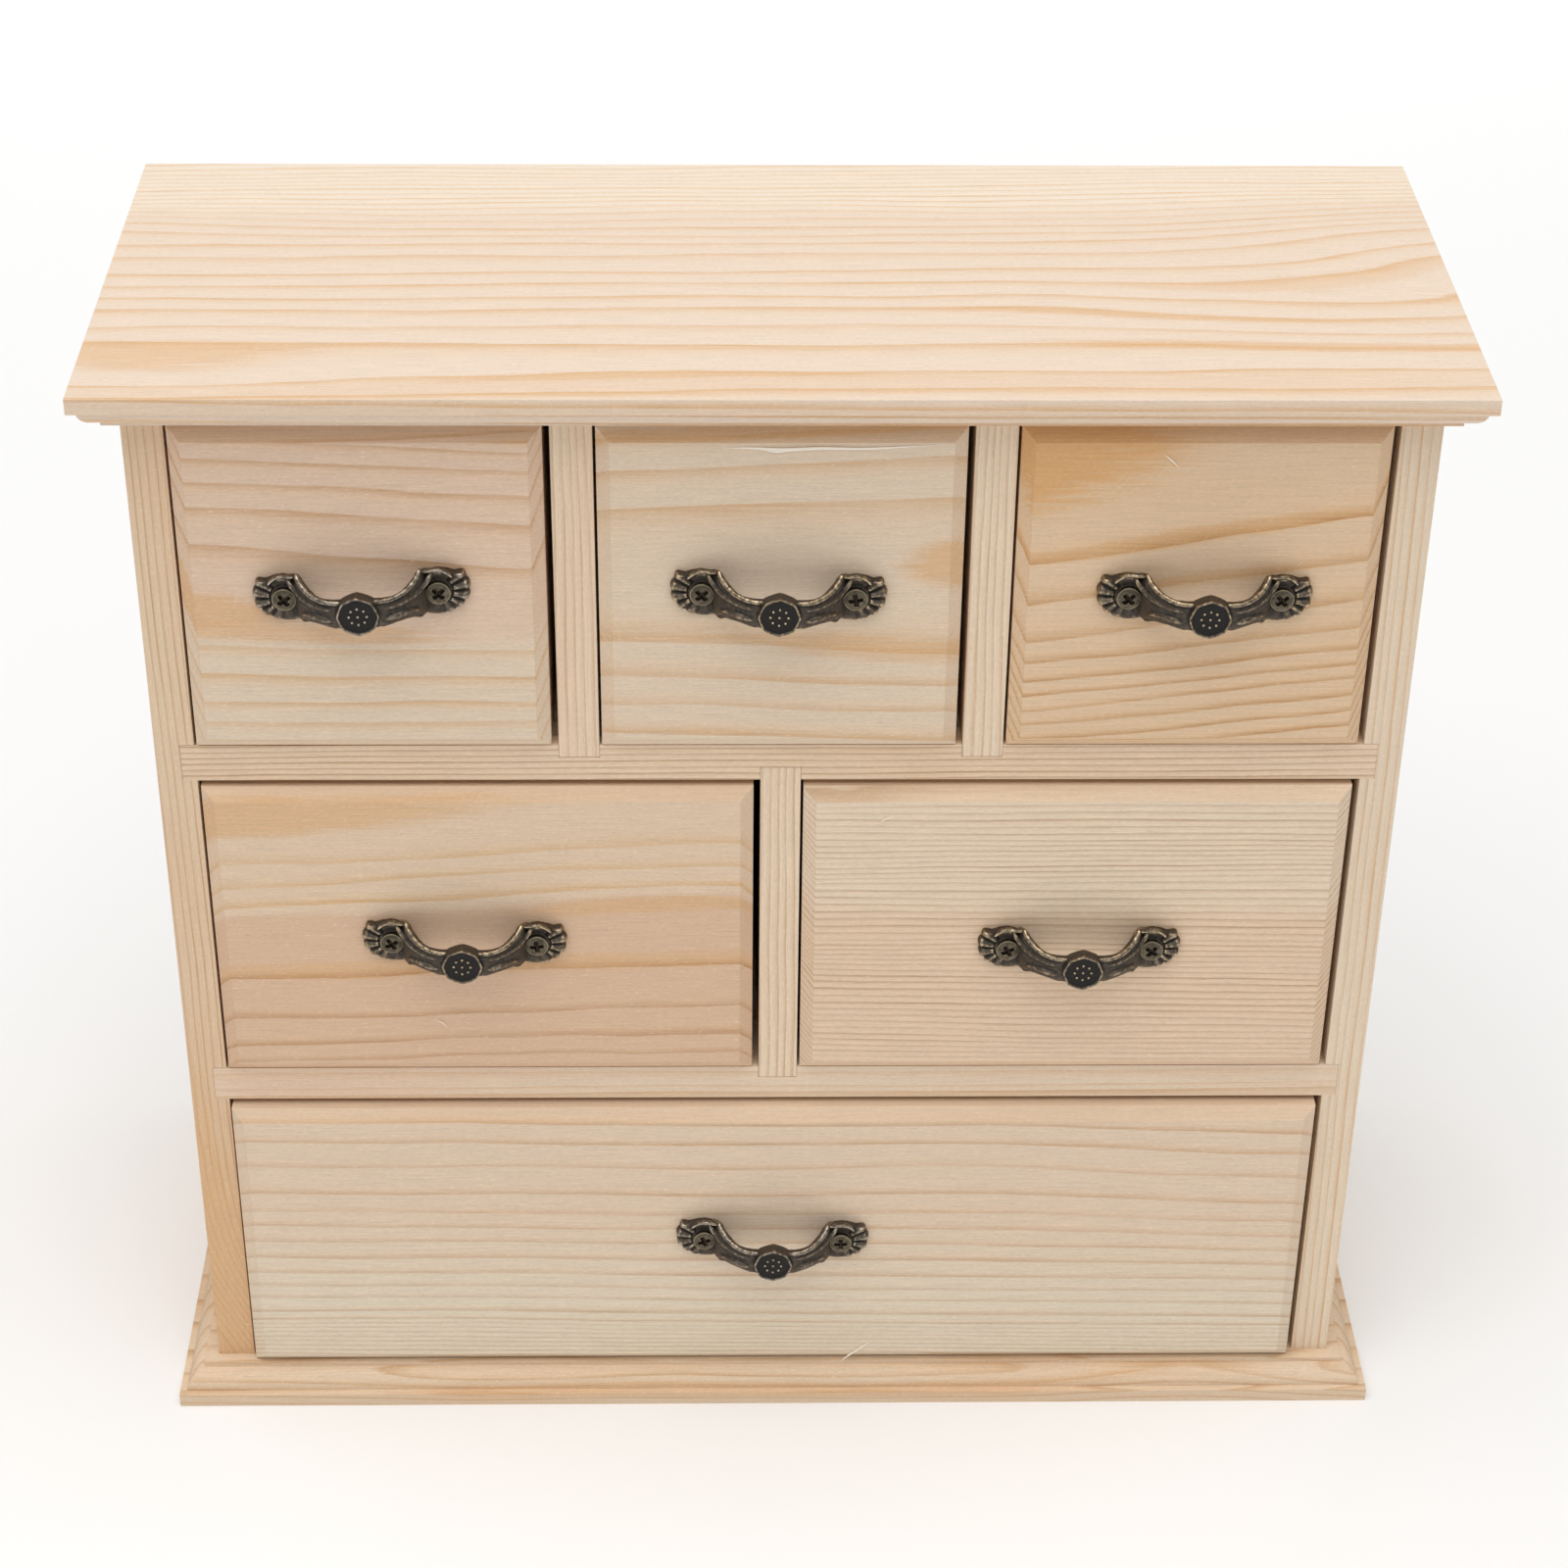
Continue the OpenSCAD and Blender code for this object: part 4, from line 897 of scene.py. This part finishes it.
for i, drawer in enumerate(front_figures):
    left_points, faces, worn = screw_head(-SCREW_PITCH / 2, spins[2 * i])
    right_points, faces, worn = screw_head(SCREW_PITCH / 2, spins[2 * i + 1])
    screws = new_piece(drawer + "_screws", on_front(drawer, np.concatenate([left_points, right_points])),
                       np.concatenate([faces, faces + len(left_points)]), dull_brass, np.tile(worn, 2))
    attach(screws, drawer)
    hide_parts(drawer + "_handle_screws")

# Splinters
# Pale slivers that the plane tore up and left hanging on the raw pine, one or two on five of the fronts.
# Each row of a sliver gives x from the front's middle, height, projection, half width and half depth.
splinters = {
    "top_centre_drawer": (
        ((-12, 64.8, 0.0, 0.06, 0.05), (-6, 64.9, 0.1, 0.22, 0.1), (0, 64.6, 0.2, 0.36, 0.12),
         (7, 64.9, 0.22, 0.3, 0.12), (15, 64.8, 0.18, 0.24, 0.1), (23, 65.2, 0.12, 0.16, 0.08),
         (30, 65.6, 0.0, 0.06, 0.05)),
        ((-4, 64.9, 0.1, 0.1, 0.08), (-1.5, 64.2, 0.25, 0.18, 0.1), (0.5, 64.3, 0.25, 0.16, 0.1),
         (3, 64.7, 0.1, 0.08, 0.06))),
    "top_right_drawer": (
        ((-8, 63.6, 0.05, 0.08, 0.06), (-6.8, 62.6, 0.2, 0.15, 0.08), (-5.2, 61.0, 0.35, 0.06, 0.04)),),
    "middle_left_drawer": (
        ((-10.5, 13.4, 0.05, 0.06, 0.05), (-9.2, 13.0, 0.3, 0.11, 0.08), (-8.2, 11.8, 0.4, 0.06, 0.05)),),
    "middle_right_drawer": (
        ((-38.6, 61.0, 0.05, 0.06, 0.05), (-37.4, 62.0, 0.3, 0.12, 0.08), (-35.8, 62.6, 0.35, 0.06, 0.04)),),
    "bottom_drawer": (
        ((14.6, 0.3, 0.3, 0.08, 0.05), (16.6, 2.2, 0.25, 0.2, 0.1), (19.0, 4.2, 0.25, 0.2, 0.1),
         (21.4, 6.2, 0.05, 0.06, 0.04)),),
}

torn_pine, tree, shader = new_material("torn_pine")
fibre = noise(tree, object_place(tree), (3.0 * MM, 0.1 * MM, 0.1 * MM), 2.0)
set_inputs(tree, shader, {
    "Base Color": mix_colour(tree, fibre, LOOSE_FIBRE, (0.98, 0.93, 0.84)),
    "Roughness": ease(tree, fibre, 0.2, 0.8, 0.55, 0.75), "Normal": raised(tree, fibre, 0.3, 0.00004)})
for drawer, slivers in splinters.items():
    low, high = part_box(drawer + "_front")
    for i, sliver in enumerate(slivers):
        points, faces = bead(sliver, steps=40, turns=12, end=0.3)
        x, z, p = (points * MM).T
        placed = np.stack([(low.x + high.x) / 2 + x, low.y - p, low.z + z], -1)
        splinter = new_piece(f"{drawer}_splinter_{i + 1}", placed, faces, torn_pine, np.zeros(len(points)))
        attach(splinter, drawer)
